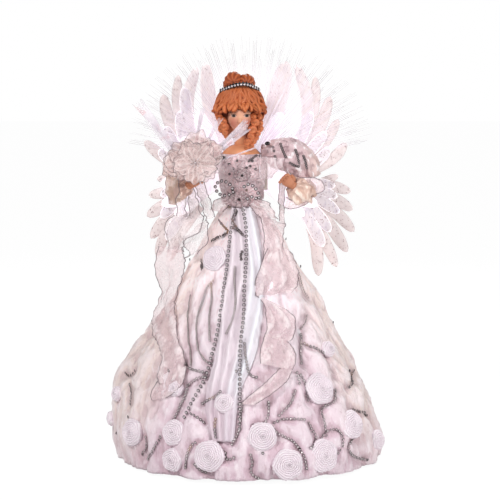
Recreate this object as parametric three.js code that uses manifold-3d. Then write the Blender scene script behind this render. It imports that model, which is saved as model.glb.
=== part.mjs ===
// An angel for the top of a tree: a half-doll on a stiff cone, in a folded skirt with ribbon rosettes,
// with two feathered wings and a fan of light fibres behind it.
// Millimetres, +Z up. The figure faces -Y. The origin is the middle of the base, on the surface it stands on.
import * as THREE from "three";
import { mergeVertices } from "three/addons/utils/BufferGeometryUtils.js";
import Module from "manifold-3d";

const wasm = await Module();
wasm.setup();

// Clearances
const seam = 0.3;
const stitch = 0.6;
const overrun = 2;

// The skirt, seen as one cone of cloth that leans a little to its right hand
const waistHeight = 243;
const waistRadius = 21.5;
const waistLean = -7;
const hemRadius = 129;
const hemFold = 7;
const waistFold = 1.4;
const foldCount = 16;
const columnsPerFold = 4;
const overskirtThickness = 1.1;
const underskirtThickness = 1.1;
const underskirtHemRise = 2;
const underskirtTopDrop = 6;
const underskirtColumns = 20;

// Rows of the skirt from hem to waist: share of the waist's height, share of the spread from waist to hem
const skirtProfileShares = [
  [0, 1],
  [0.11, 0.968],
  [0.25, 0.868],
  [0.43, 0.68],
  [0.62, 0.452],
  [0.82, 0.232],
  [1, 0],
];

// The cone inside, which goes over the tip of the tree
const cone = { baseRadius: 93, topRadius: 19, topDrop: 21, wall: 1.5, flange: 7, rim: 1.6, sides: 32 };
const coneHeight = waistHeight - cone.topDrop;

// The body blank above the cone, and the bodice sewn round it
const torso = { depthShare: 0.9, waist: 16.4, ribs: 19.9, bust: 21.8, shoulder: 19.8, sides: 24 };
const torsoRise = { foot: 6, ribs: 20, bust: 42, top: 46 };
const torsoTop = waistHeight + torsoRise.top;
const bodice = { bottomDrop: 3, topRise: 4, thickness: 1.2, ripple: 0.5, sides: 24 };

// The moulded head, neck and shoulder plate
const head = { rise: 38.5, forward: 8, halfWidth: 11.6, halfDepth: 12.6, halfHeight: 15.2 };
const headCentre = torsoTop + head.rise;
const neck = { radius: 5.6, topDrop: 9.5, bottomRise: 11, forward: 4 };
const shoulderPlate = { halfWidth: 18, halfDepth: 15.2, rise: 12.5, forward: 1 };
const nose = { length: 2.6, width: 2.1, height: 5.2, drop: 1.5 };
const brow = { depth: 0.5, width: 7, height: 2.4, rise: 5 };
const lips = { depth: 0.9, width: 3.2, height: 1.5, drop: 7.2 };
const chin = { depth: 1.6, width: 4, height: 3, drop: 12.5 };
const jawNarrowingShare = 0.34;

// The hair: a cap, a double bun and rolled curls
const hair = { rise: 9, back: 1, halfWidth: 24.6, halfDepth: 20, halfHeight: 23.5 };
const hairCentre = headCentre + hair.rise;
const bun = { halfWidth: 10, halfDepth: 9.5, halfHeight: 9.2, spread: 5.4, forward: 1 };
const bunRise = { low: 22.5, tall: 25.5 };
const fringe = { rise: 6, radius: 4.6, reach: 12, forward: 12.5 };
const curl = { radius: 4.4, bulge: 1.1, sides: 6 };
const hairRoom = 1.25;

// The chain of stones over the brow of the hair
const tiara = { sideRise: 15, rise: 7.7, halfWidth: 19.4, back: 3.9, reach: 8.6, bead: 1.7, band: 0.6 };
const tiaraCount = 15;
const tiaraSweep = 156;
const tiaraTouchShare = 0.9;

// Sleeves, cuffs and hands; "out" is the distance to either side of the figure's own middle
const puffSteps = 6;
const sleeve = { cap: 7, puff: 12.8, elbow: 7.4, ripple: 0.9, gathers: 8 };
const arm = {
  shoulderOut: 22.6,
  shoulderRise: 7,
  puffOut: 45,
  puffRise: 2.5,
  lowOut: 60,
  lowDrop: 9,
  elbowOut: 66,
  elbowDrop: 24.5,
  back: 2,
};
const shoulderHeight = torsoTop + arm.shoulderRise;
const elbowHeight = shoulderHeight - arm.elbowDrop;
const cuff = { topRadius: 7.5, puff: 13.2, endRadius: 7, ripple: 0.8, gathers: 7 };
const forearm = { startOut: 64.5, startDrop: 12, startForward: 15, endOut: 50, endDrop: 8.5, endForward: 29 };
const hand = { wrist: 3.6, palmWidth: 5, palmThick: 2.9, palmLength: 8 };
const finger = { radius: 1.35, length: 8.5, spread: 2.6, sides: 5 };

// Beaded ornaments of the bodice: the brooches rise over the waist, the loops over the lower brooch
const lowerBrooch = { rise: 9.5, radius: 9, depth: 2.6, stone: 3.4, beads: 10, bead: 1.9 };
const upperBrooch = { rise: 31, radius: 7, depth: 2.4, stone: 2.6, beads: 8, bead: 1.7 };
const loop = { bead: 1.4, thread: 0.5, pitch: 4.1, sides: 4 };
const leftLoop = { turn: 224, rise: 8.5, halfWidth: 8.4, halfHeight: 7, tilt: 10, start: 55, sweep: 318 };
const rightLoop = { turn: 309, rise: 4, halfWidth: 5.6, halfHeight: 8.2, tilt: 24, start: 120, sweep: 300 };

// Bead strands down the front of the skirt: turn in degrees, share of the waist's height
const strand = { bead: 1.4, thread: 0.5, pitch: 6, sides: 4 };
const leftStrandShares = [
  [-104.8, 0.985],
  [-109.7, 0.888],
  [-108.7, 0.7],
  [-108.4, 0.614],
  [-110.1, 0.515],
  [-111.3, 0.437],
  [-113.5, 0.37],
  [-119.6, 0.265],
];
const rightStrandShares = [
  [-90.1, 0.985],
  [-85.2, 0.9],
  [-87.7, 0.79],
  [-90.3, 0.7],
  [-91.4, 0.59],
  [-93.5, 0.486],
  [-92.6, 0.4],
  [-91.6, 0.25],
];

// Rosettes of wound ribbon: turn in degrees, share of the waist's height, share of the widest radius
const smallShare = 0.65;
const rosette = { radius: 15, foot: 0.95, height: 6.4, flare: 1 };
const winding = { turns: 2.25, fewerTurns: 1.875, stepsPerTurn: 7, coreShare: 0.14, fillShare: 0.56 };
const rosetteShares = [
  [-127.8, 0.815, 0.76],
  [-168.5, 0.262, 0.56],
  [-176, 0.15, 0.56],
  [-152.3, 0.138, 0.8],
  [-127, 0.178, 0.7],
  [-128.9, 0.325, 0.6],
  [-124.5, 0.07, 0.8],
  [-107.4, 0.093, 1],
  [-101.5, 0.295, 0.55],
  [-83.4, 0.18, 0.92],
  [-75.1, 0.068, 0.9],
  [-56.5, 0.086, 0.96],
  [-49.9, 0.333, 0.93],
  [-37.4, 0.185, 0.8],
  [-19, 0.085, 0.7],
  [-32.5, 0.455, 0.6],
  [62, 0.1, 0.9],
  [91, 0.1, 0.9],
  [119, 0.1, 0.9],
];

// The organza bloom in front of the right hand
const bloom = { out: 42.5, forward: 50, rise: 25, petalLength: 21, petalWidth: 20, dish: 7, thickness: 1 };
const bloomRear = { petalLength: 27, petalWidth: 25, dish: 3 };
const bloomPetals = 5;
const bloomHeart = 3.4;

// Sheer ribbons that fall from the hands over the skirt: turn in degrees, share of the waist's height,
// the lift off the fold crests as a share of the ribbon's width, and the turn that the ribbon faces
const ribbon = { width: 32, thickness: 0.9, ruffle: 3.6, ruffles: 7, steps: 23, across: 4 };
const leftRibbonShares = [
  [-136, 0.935, 1.4, -105],
  [-141, 0.872, 1.4, -108],
  [-147, 0.789, 1.12, -112],
  [-147, 0.706, 0.8, -118],
  [-146, 0.611, 0.5, -130],
  [-141, 0.518, 0.25, -141],
  [-136, 0.42, 0.012, -136],
];
const rightRibbonShares = [
  [-49.9, 0.947, 1.2, -75],
  [-52.5, 0.9, 0.82, -75],
  [-49.9, 0.827, 0.56, -70],
  [-54.4, 0.722, 0.4, -62],
  [-60.7, 0.601, 0.34, -60.7],
  [-67.5, 0.485, 0.25, -67.5],
  [-68.5, 0.386, 0.012, -68.5],
];

// The wings: rows of film feathers, each row cut from one sheet. Angle of a feather from the horizontal,
// then its reach from the root as a share of the longest
const wing = { drop: 5, longest: 135, film: 0.9, width: 13.5, back: 40, webRise: 12 };
const wingHeight = torsoTop - wing.drop;
const outerFeatherShares = [
  [73, 0.69],
  [63, 0.775],
  [51.5, 0.775],
  [38, 0.75],
  [24.5, 0.72],
  [10, 0.73],
  [-5, 0.66],
  [-17.5, 0.755],
  [-26.5, 0.825],
  [-35, 0.915],
  [-43.5, 0.97],
  [-51.5, 1],
  [-60, 0.975],
];
const outerRootShares = [0.33, 0.4, 0.4, 0.36, 0.33, 0.33, 0.33, 0.36, 0.4, 0.46, 0.52, 0.57, 0.6];
const innerFeatherShares = [
  [67, 0.6],
  [52, 0.58],
  [37, 0.55],
  [22, 0.53],
  [6, 0.52],
  [-10, 0.53],
  [-24, 0.58],
  [-36, 0.66],
  [-47, 0.74],
  [-57, 0.77],
];
const innerRootShares = [0.2, 0.2, 0.19, 0.18, 0.17, 0.17, 0.18, 0.22, 0.28, 0.36];
const bracket = { halfWidth: 18, bottomDrop: 28, topDrop: 1, thickness: 2.2, centre: -1 };
const peg = { radius: 2.2, rise: 5, sides: 8 };

// The lamp behind the shoulders, and the fibres that carry its light
const lamp = { radius: 7, bottomDrop: 24, topDrop: 7, wall: 1.3, plug: 3, sides: 12 };
const led = { radius: 2.5, height: 7.6, rimShare: 1.15, sides: 12 };
const fan = { radius: 12, depth: 9, drop: 1, reach: 122, thick: 0.5, sides: 18 };
const fanSweep = 162;
const fanLayers = 5;
const fanPerLayer = 50;
const fanReachShares = [1, 0.88, 0.96, 0.8, 0.985, 0.86, 0.93, 0.76, 0.9];
const spray = { thick: 0.6, length: 78, radius: 4.5, depth: 4, stem: 0.9 };

// Sheaves of fibres behind the bloom: middle angle, spread, share of the longest, count
const sprayShares = [
  [50, 24, 0.92, 14],
  [14, 12, 0.8, 8],
  [135, 18, 1, 14],
  [88, 8, 0.72, 6],
];

// The battery case on the inside of the cone's back wall, its sliding door, cells, contacts and switch
const pack = { width: 37, length: 60, depth: 18.6, wall: 1.6, endWall: 4, rise: 9, standoff: 3.2, lip: 1.4 };
const cell = { radius: 7.2, length: 50.4, nubRadius: 2.7, nubLength: 1.1, sides: 12 };
const door = { thickness: 1.8, travel: 22, ridge: 0.8, ridgeWidth: 1.4, ridgePitch: 3.2, ridges: 4 };
const slider = { width: 4.6, length: 6, travel: 4, proud: 2.2, sunk: 1.8 };
const contact = { thickness: 0.5, width: 27, height: 9 };

// Points and turns
const point = (x, y, z) => new THREE.Vector3(x, y, z);
const east = point(1, 0, 0);
const north = point(0, 1, 0);
const radians = THREE.MathUtils.degToRad;
const fullTurn = 2 * Math.PI;
const leanAt = (height) => (waistLean * height) / waistHeight;

// A value read off a table of rows, straight from one row to the next.
function between(rows, key, column) {
  const last = rows.length - 1;
  const next = Math.min(last, Math.max(1, rows.findIndex((row) => row[0] >= key)));
  const [low, high] = [rows[next - 1], rows[next]];
  const share = (key - low[0]) / (high[0] - low[0]);
  return low[column] + share * (high[column] - low[column]);
}

// A closed body from points and faces, turned to face out if the order of the points left it facing in.
function closedBody(points, faces) {
  const volume = faces.reduce((sum, _, at) => {
    if (at % 3) return sum;
    const [a, b, c] = [points[faces[at]], points[faces[at + 1]], points[faces[at + 2]]];
    return sum + a.dot(b.clone().cross(c));
  }, 0);
  const order = volume < 0 ? faces.slice().reverse() : faces;
  const geometry = new THREE.BufferGeometry().setFromPoints(points);
  geometry.setIndex(order);
  return geometry;
}

// A thin closed sheet between two grids of points. "round" joins the last column to the first.
function sheet(columns, rows, front, back, round = false) {
  const places = Array.from({ length: columns * rows }, (_, at) => [Math.floor(at / rows), at % rows]);
  const points = [front, back].flatMap((side) => places.map(([i, j]) => side(i, j)));
  const at = (side, i, j) => side * columns * rows + (i % columns) * rows + j;
  const faces = [];
  const quad = (a, b, c, d) => faces.push(a, b, c, a, c, d);
  const spans = round ? columns : columns - 1;
  for (let i = 0; i < spans; i++) {
    for (let j = 0; j + 1 < rows; j++) {
      quad(at(0, i, j), at(0, i + 1, j), at(0, i + 1, j + 1), at(0, i, j + 1));
      quad(at(1, i, j), at(1, i, j + 1), at(1, i + 1, j + 1), at(1, i + 1, j));
    }
    quad(at(0, i, 0), at(1, i, 0), at(1, i + 1, 0), at(0, i + 1, 0));
    quad(at(0, i, rows - 1), at(0, i + 1, rows - 1), at(1, i + 1, rows - 1), at(1, i, rows - 1));
  }
  for (let j = 0; !round && j + 1 < rows; j++) {
    const end = columns - 1;
    quad(at(0, 0, j), at(0, 0, j + 1), at(1, 0, j + 1), at(1, 0, j));
    quad(at(0, end, j), at(1, end, j), at(1, end, j + 1), at(0, end, j + 1));
  }
  return closedBody(points, faces);
}

// A closed body through a row of rings, each ring with the same count of points.
function throughRings(rings) {
  const count = rings[0].length;
  const last = (rings.length - 1) * count;
  const faces = [];
  for (let ring = 0; ring + 1 < rings.length; ring++)
    for (let i = 0; i < count; i++) {
      const a = ring * count + i;
      const b = ring * count + ((i + 1) % count);
      faces.push(a, b, b + count, a, b + count, a + count);
    }
  for (let i = 1; i + 1 < count; i++) faces.push(0, i + 1, i, last, last + i, last + i + 1);
  return closedBody(rings.flat(), faces);
}

// A ring of points round a centre, in the plane of two directions.
function ring(centre, across, up, halfWidth, halfHeight, sides, ripple = () => 1) {
  return Array.from({ length: sides }, (_, i) => {
    const angle = (fullTurn * i) / sides;
    const swell = ripple(i);
    return centre
      .clone()
      .addScaledVector(across, Math.cos(angle) * halfWidth * swell)
      .addScaledVector(up, Math.sin(angle) * halfHeight * swell);
  });
}

// A round bar along a curve, its radius given at each share of the length.
function bar(curve, steps, sides, radiusAt, upward = point(0, 0, 1), ripple) {
  const rings = [];
  for (let step = 0; step <= steps; step++) {
    const share = step / steps;
    const along = curve.getTangentAt(share);
    const across = along.clone().cross(upward).normalize();
    const up = across.clone().cross(along);
    rings.push(ring(curve.getPointAt(share), across, up, radiusAt(share), radiusAt(share), sides, ripple));
  }
  return throughRings(rings);
}

// An egg-shaped body.
function egg(centre, halfWidth, halfDepth, halfHeight, around = 14, down = 9) {
  const geometry = new THREE.SphereGeometry(1, around, down);
  geometry.rotateX(fullTurn / 4);
  geometry.scale(halfWidth, halfDepth, halfHeight);
  return geometry.translate(centre.x, centre.y, centre.z);
}

// Joining and cutting
function toManifold(geometry) {
  const bare = geometry.clone();
  bare.deleteAttribute("normal");
  bare.deleteAttribute("uv");
  const welded = mergeVertices(bare, seam / 1000);
  return new wasm.Manifold(
    new wasm.Mesh({
      numProp: 3,
      vertProperties: welded.attributes.position.array,
      triVerts: new Uint32Array(welded.index.array),
    }),
  );
}

function fromManifold(solid) {
  const mesh = solid.getMesh();
  const geometry = new THREE.BufferGeometry();
  geometry.setAttribute("position", new THREE.BufferAttribute(new Float32Array(mesh.vertProperties), 3));
  geometry.setIndex(new THREE.BufferAttribute(new Uint32Array(mesh.triVerts), 1));
  return geometry;
}

function joined(geometries) {
  return fromManifold(geometries.map(toManifold).reduce((all, next) => all.add(next)));
}

function cut(geometry, ...tools) {
  const solids = tools.map(toManifold);
  return fromManifold(solids.reduce((left, tool) => left.subtract(tool), toManifold(geometry)));
}

function block(low, high) {
  const size = high.clone().sub(low);
  const middle = low.clone().add(high).multiplyScalar(0.5);
  return new THREE.BoxGeometry(size.x, size.y, size.z).translate(middle.x, middle.y, middle.z);
}

// An upright cylinder between two heights.
function post(radius, bottom, top, sides) {
  const geometry = new THREE.CylinderGeometry(radius, radius, top - bottom, sides);
  return geometry.rotateX(fullTurn / 4).translate(0, 0, (bottom + top) / 2);
}

// The skirt's surface
const columns = foldCount * columnsPerFold;
const foldDepth = (share) => hemFold + (waistFold - hemFold) * share;

// How far the cloth lies inside the fold crests, straight from one column of the cloth to the next.
function foldInset(turn, share) {
  const column = (turn / fullTurn) * columns;
  const low = Math.floor(column);
  const inset = (at) => (1 - Math.cos((fullTurn * at) / columnsPerFold)) / 2;
  return foldDepth(share) * (inset(low) + (column - low) * (inset(low + 1) - inset(low)));
}

const skirtSpread = hemRadius - waistRadius;
const crestRadius = (share) => waistRadius + skirtSpread * between(skirtProfileShares, share, 1);

// A point on the skirt, lifted off it square to its slope. With no folds it is lifted off the fold crests.
function onSkirt(turn, share, lift = 0, folds = 1) {
  const step = 1 / columns;
  const low = Math.max(0, Math.min(1 - step, share));
  const slope = (crestRadius(low) - crestRadius(low + step)) / (waistHeight * step);
  const length = Math.hypot(1, slope);
  const radius = crestRadius(share) - folds * foldInset(turn, share) + lift / length;
  const height = share * waistHeight;
  const raised = height + (lift * slope) / length;
  return point(leanAt(height) + radius * Math.cos(turn), radius * Math.sin(turn), raised);
}

function skirtShell(count, folds, inset, thickness, lowShare, highShare) {
  const rows = skirtProfileShares.map(([share]) => lowShare + (highShare - lowShare) * share);
  const place = (extra) => (i, j) => {
    const turn = (fullTurn * i) / count;
    const radius = crestRadius(rows[j]) - folds(turn, rows[j]) - inset - extra;
    const height = rows[j] * waistHeight;
    return point(leanAt(height) + radius * Math.cos(turn), radius * Math.sin(turn), height);
  };
  return sheet(count, rows.length, place(0), place(thickness), true);
}

// The bodice's surface
const torsoRows = [
  [waistHeight, torso.waist],
  [waistHeight + torsoRise.ribs, torso.ribs],
  [waistHeight + torsoRise.bust, torso.bust],
  [torsoTop, torso.shoulder],
];
const torsoRadius = (height) =>
  height <= waistHeight ? torso.waist : between(torsoRows, Math.min(height, torsoTop), 1);

function onTorso(turn, height, lift) {
  const radius = torsoRadius(height) + lift;
  return point(leanAt(height) + radius * Math.cos(turn), radius * torso.depthShare * Math.sin(turn), height);
}

const bodiceLift = seam + bodice.thickness + bodice.ripple;
const bodiceFront = (height) => -(torsoRadius(height) + bodiceLift) * torso.depthShare;

// The pieces
const angel = new THREE.Group();
angel.name = "angel_tree_topper";

function add(name, geometry, color, roughness, metalness = 0) {
  const material = new THREE.MeshStandardMaterial({ color, roughness, metalness, flatShading: true });
  const mesh = new THREE.Mesh(geometry, material);
  mesh.name = name;
  angel.add(mesh);
  return mesh;
}

// The cone: its foot flange turns inwards, and its axis leans as the skirt does.
function supportCone() {
  const slope = (cone.baseRadius - cone.topRadius) / coneHeight;
  const wall = cone.wall * Math.hypot(1, slope);
  const profile = [
    [cone.baseRadius - cone.flange, 0],
    [cone.baseRadius, 0],
    [cone.topRadius, coneHeight],
    [cone.topRadius - wall, coneHeight],
    [cone.baseRadius - wall - cone.rim * slope, cone.rim],
    [cone.baseRadius - cone.flange, cone.rim],
    [cone.baseRadius - cone.flange, 0],
  ].map(([radius, height]) => new THREE.Vector2(radius, height));
  const geometry = new THREE.LatheGeometry(profile, cone.sides).rotateX(fullTurn / 4);
  const places = geometry.attributes.position;
  for (let i = 0; i < places.count; i++) places.setX(i, places.getX(i) + leanAt(places.getZ(i)));
  return fromManifold(toManifold(geometry));
}

add("support_cone", supportCone(), 0xf1ece4, 0.7);
add("overskirt", skirtShell(columns, foldInset, 0, overskirtThickness, 0, 1), 0xe6dce4, 0.6);

// The underskirt hangs plain inside the folds, clear of the surface below the hem.
const underskirt = skirtShell(
  underskirtColumns,
  (_, share) => foldDepth(share),
  overskirtThickness + seam,
  underskirtThickness,
  underskirtHemRise / waistHeight,
  (waistHeight - underskirtTopDrop) / waistHeight,
);
add("underskirt", underskirt, 0xf4f0f2, 0.35);

// The body blank stands on the cone's top rim.
function torsoFormer() {
  const foot = coneHeight + seam;
  const rows = [[foot, cone.topRadius], [foot + torsoRise.foot, torso.waist], ...torsoRows];
  const rings = rows.map(([height, radius]) => {
    const centre = point(leanAt(height), 0, height);
    return ring(centre, east, north, radius, radius * torso.depthShare, torso.sides);
  });
  return throughRings(rings);
}
add("torso_former", torsoFormer(), 0xd9cfc4, 0.8);

// The bodice is ruched: its cloth runs in and out round the body.
function bodiceShell() {
  const bottom = waistHeight - bodice.bottomDrop;
  const heights = [bottom, ...torsoRows.slice(0, 3).map(([height]) => height), torsoTop + bodice.topRise];
  const place = (lift) => (i, j) => {
    const swell = i % 2 ? bodice.ripple : 0;
    return onTorso((fullTurn * i) / bodice.sides, heights[j], seam + lift + (lift ? swell : 0));
  };
  return sheet(bodice.sides, heights.length, place(bodice.thickness), place(0), true);
}
add("bodice", bodiceShell(), 0xcdb9be, 0.4, 0.3);

// The face: a sphere drawn in at the jaw, with soft swells for brow, nose, lips and chin.
function faceSurface(grow, around) {
  const geometry = new THREE.SphereGeometry(1, around, Math.round(around * 0.7));
  geometry.rotateX(fullTurn / 4);
  const places = geometry.attributes.position;
  const swell = (x, z, at, piece) =>
    piece.at * Math.exp(-((x / piece.width) ** 2) - ((z - at) / piece.height) ** 2);
  for (let i = 0; i < places.count; i++) {
    const [x, y, z] = [places.getX(i), places.getY(i), places.getZ(i)];
    const jaw = 1 - jawNarrowingShare * Math.max(0, -z) ** 2;
    const place = point(
      x * jaw * (head.halfWidth + grow),
      y * (head.halfDepth + grow),
      z * (head.halfHeight + grow),
    );
    if (y < 0) {
      const features =
        swell(place.x, place.z, -nose.drop, { ...nose, at: nose.length }) +
        swell(place.x, place.z, brow.rise, { ...brow, at: brow.depth }) +
        swell(place.x, place.z, -lips.drop, { ...lips, at: lips.depth }) +
        swell(place.x, place.z, -chin.drop, { ...chin, at: chin.depth });
      place.y -= features * -y;
    }
    places.setXYZ(i, place.x, place.y, place.z);
  }
  return geometry.translate(leanAt(headCentre), -head.forward, headCentre);
}

const neckFoot = torsoTop + neck.bottomRise;
const neckTop = headCentre - neck.topDrop;

// A dome closes the chest under the neck. With "grow" the same shape is the room that the hair leaves for it.
function headBust(grow = 0, around = 18) {
  const base = torsoTop + seam - grow * 4;
  const dome = [0, 0.3, 0.6, 0.85, 1].map((share) => {
    const spread = Math.sqrt(1 - share ** 2 * (1 - (neck.radius / shoulderPlate.halfWidth) ** 2));
    const height = base + (shoulderPlate.rise + grow * 5) * share;
    return ring(
      point(leanAt(height), -shoulderPlate.forward, height),
      east,
      north,
      shoulderPlate.halfWidth * spread + grow,
      shoulderPlate.halfDepth * spread + grow,
      Math.round(around * 0.8),
    );
  });
  const throat = new THREE.CatmullRomCurve3([
    point(leanAt(neckFoot), 0, neckFoot),
    point(leanAt(neckFoot), -neck.forward / 2, (neckFoot + neckTop) / 2),
    point(leanAt(neckTop), -neck.forward, neckTop),
  ]);
  const column = bar(throat, 3, 10, () => neck.radius + grow, point(0, 1, 0));
  return joined([throughRings(dome), column, faceSurface(grow, around)]);
}
add("head_bust", headBust(), 0xd2a288, 0.5);

// Sausage curls: bars whose thickness swells along them, one swell to each roll of the hair.
function curlBar(places, radius, rolls) {
  const curve = new THREE.CatmullRomCurve3(places);
  const steps = rolls * 3;
  const thickness = (share) => {
    const roll = Math.abs(Math.sin(Math.PI * rolls * share));
    return radius * (0.68 + 0.32 * roll);
  };
  return bar(curve, steps, curl.sides, thickness, point(0, 1, 0));
}

function hairCap() {
  const middle = leanAt(hairCentre);
  const front = -head.forward;
  const centre = point(middle, hair.back, hairCentre);
  const cap = egg(centre, hair.halfWidth, hair.halfDepth, hair.halfHeight, 16, 8);
  const lobe = (side, height, size) =>
    egg(
      point(middle + side * bun.spread, -bun.forward, height),
      bun.halfWidth * size,
      bun.halfDepth * size,
      bun.halfHeight * size,
      8,
      5,
    );
  const cheek = (side) => middle + side * (head.halfWidth + curl.radius);
  const rolls = [
    curlBar(
      [-1, -0.5, 0, 0.5, 1].map((share) =>
        point(
          middle + share * (head.halfWidth + fringe.reach / 3),
          front - fringe.forward * Math.sqrt(1.2 - share ** 2) + fringe.radius / 3,
          hairCentre + fringe.rise - fringe.radius * share ** 2,
        ),
      ),
      fringe.radius,
      4,
    ),
    curlBar(
      [
        point(cheek(-1), front, hairCentre + fringe.rise),
        point(cheek(-1) - curl.bulge, front, headCentre),
        point(cheek(-1) + curl.bulge, front, headCentre - head.halfHeight * 0.7),
      ],
      curl.radius,
      3,
    ),
    curlBar(
      [
        point(cheek(1), front, hairCentre + fringe.rise),
        point(cheek(1) + curl.bulge, front - curl.bulge, headCentre),
        point(cheek(1) - curl.bulge, front - curl.bulge * 2, headCentre - head.halfHeight * 0.75),
        point(cheek(1) - curl.radius, front - curl.bulge * 2, headCentre - head.halfHeight * 1.35),
        point(cheek(1) - curl.radius * 1.8, front - curl.bulge, torsoTop + shoulderPlate.rise + curl.radius),
      ],
      curl.radius,
      5,
    ),
  ];
  const nape = egg(
    point(middle, head.forward, headCentre - hair.halfHeight / 2),
    head.halfWidth * 1.2,
    head.halfDepth * 0.7,
    head.halfHeight * 0.8,
    8,
    5,
  );
  const lobes = [lobe(-1, hairCentre + bunRise.low, 0.95), lobe(1, hairCentre + bunRise.tall, 1)];
  return cut(joined([cap, ...lobes, nape, ...rolls]), headBust(hairRoom, 10));
}
add("hair_cap", hairCap(), 0xc0683a, 0.55);

// The steps along a curve drawn by a formula
const curveSteps = 20;

// A string of beads: the thread runs through every bead, so the whole string is one piece.
function beadString(curve, pieceSizes, outward) {
  const length = curve.getLength();
  const count = Math.max(2, Math.round(length / pieceSizes.pitch));
  const half = pieceSizes.half ?? pieceSizes.bead;
  const rings = [];
  for (let bead = 0; bead < count; bead++)
    for (const end of [-1, 0, 1]) {
      const along = ((bead + 0.5) * length) / count + end * half;
      const share = Math.min(1, Math.max(0, along / length));
      const tangent = curve.getTangentAt(share);
      const across = tangent.clone().cross(outward(share)).normalize();
      const up = across.clone().cross(tangent);
      const radius = end ? pieceSizes.thread : pieceSizes.bead;
      rings.push(ring(curve.getPointAt(share), across, up, radius, radius, pieceSizes.sides));
    }
  return throughRings(rings);
}

// The stones of the tiara stand in an arch over the brow of the hair, in front of the bun.
function tiaraChain() {
  const ends = hairCentre + tiara.sideRise;
  const places = Array.from({ length: curveSteps + 1 }, (_, step) => {
    const turn = radians(-90 + tiaraSweep * (step / curveSteps - 0.5));
    return point(
      leanAt(ends) + tiara.halfWidth * Math.cos(turn),
      -tiara.back + tiara.reach * Math.sin(turn),
      ends - tiara.rise * Math.sin(turn),
    );
  });
  const curve = new THREE.CatmullRomCurve3(places);
  const pitch = curve.getLength() / tiaraCount;
  const half = (pitch * tiaraTouchShare) / 2;
  const sizes = { bead: tiara.bead, thread: tiara.band, pitch, half, sides: 5 };
  return beadString(curve, sizes, () => point(0, 0, 1));
}
add("tiara", tiaraChain(), 0x8d8a88, 0.25, 0.9);

// Sleeves, cuffs and hands: one side is made, and the other is its mirror about the figure's middle.
const middle = leanAt(shoulderHeight);
const side = (sign, out) => middle + sign * out;

function puff(places, radii, ripple, gathers) {
  const curve = new THREE.CatmullRomCurve3(places);
  const last = radii.length - 1;
  const radiusAt = (share) => {
    const at = Math.min(last - 1, Math.floor(share * last));
    const blend = (1 - Math.cos(Math.PI * (share * last - at))) / 2;
    return radii[at] + (radii[at + 1] - radii[at]) * blend;
  };
  const gather = (i) => 1 - ((i % 2) * ripple) / radii[1];
  return bar(curve, puffSteps, gathers * 2, radiusAt, north, gather);
}

function sleeveOf(sign) {
  const places = [
    point(side(sign, arm.shoulderOut), arm.back, shoulderHeight),
    point(side(sign, arm.puffOut), arm.back - sleeve.elbow / 2, shoulderHeight + arm.puffRise),
    point(side(sign, arm.lowOut), -sleeve.elbow, shoulderHeight - arm.lowDrop),
    point(side(sign, arm.elbowOut), -sleeve.elbow * 1.4, elbowHeight),
  ];
  return puff(places, [sleeve.cap, sleeve.puff, sleeve.puff, sleeve.elbow], sleeve.ripple, sleeve.gathers);
}

const cuffTop = elbowHeight - forearm.startDrop;
const cuffEnd = elbowHeight - forearm.endDrop;
const forearmStart = (sign) => point(side(sign, forearm.startOut), -forearm.startForward, cuffTop);
const forearmEnd = (sign) => point(side(sign, forearm.endOut), -forearm.endForward, cuffEnd);

function cuffOf(sign) {
  const [start, end] = [forearmStart(sign), forearmEnd(sign)];
  const along = end.clone().sub(start).normalize();
  const places = [start, start.clone().lerp(end, 0.5), end];
  const shell = puff(places, [cuff.topRadius, cuff.puff, cuff.endRadius], cuff.ripple, cuff.gathers);
  const sleeve = new THREE.CatmullRomCurve3([
    start.clone().addScaledVector(along, -overrun),
    end.clone().addScaledVector(along, overrun),
  ]);
  return cut(shell, bar(sleeve, 1, 10, () => hand.wrist + seam));
}

// The wrist and the end of the palm, along the forearm.
function palmOf(sign) {
  const [start, end] = [forearmStart(sign), forearmEnd(sign)];
  const along = end.clone().sub(start).normalize();
  const wrist = end.clone().addScaledVector(along, hand.wrist * 2);
  const palmEnd = wrist.clone().addScaledVector(along, hand.palmLength).add(point(0, 0, hand.palmThick));
  return { start, along, wrist, palmEnd };
}

function handOf(sign) {
  const { start, along, wrist, palmEnd } = palmOf(sign);
  const inward = point(-sign, 0, 0);
  const limb = bar(new THREE.CatmullRomCurve3([start, wrist]), 1, 10, () => hand.wrist);
  const palmUp = point(0, 0, 1);
  const palm = throughRings(
    [
      [wrist.clone().addScaledVector(along, -hand.wrist), 0.66],
      [wrist.clone().lerp(palmEnd, 0.5), 1],
      [palmEnd, 0.9],
    ].map(([centre, size]) => ring(centre, inward, palmUp, hand.palmThick * size, hand.palmWidth * size, 10)),
  );
  const digit = (root, tip, swell) => {
    const radiusAt = (share) => finger.radius * (swell - share / 3);
    return bar(new THREE.CatmullRomCurve3([root, tip]), 1, finger.sides, radiusAt);
  };
  const fingers = [-1.5, -0.5, 0.5, 1.5].map((place) => {
    const root = palmEnd
      .clone()
      .addScaledVector(palmUp, (place * hand.palmWidth) / 2.2)
      .addScaledVector(along, -finger.radius);
    const tip = root
      .clone()
      .addScaledVector(along, finger.length * (1 - Math.abs(place) / 8))
      .addScaledVector(inward, finger.spread);
    return digit(root, tip, 1);
  });
  const thumbRoot = wrist.clone().addScaledVector(palmUp, hand.palmWidth / 2);
  const thumbTip = thumbRoot
    .clone()
    .addScaledVector(palmUp, finger.length / 2)
    .addScaledVector(along, finger.length / 2)
    .addScaledVector(inward, finger.spread);
  return joined([limb, palm, ...fingers, digit(thumbRoot, thumbTip, 1.2)]);
}

for (const [name, sign] of [
  ["left", -1],
  ["right", 1],
]) {
  add("sleeve_" + name, sleeveOf(sign), 0xe3d6da, 0.6);
  add("cuff_" + name, cuffOf(sign), 0xe9d3c4, 0.4);
  add("hand_" + name, handOf(sign), 0xcf8f6e, 0.5);
}

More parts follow.
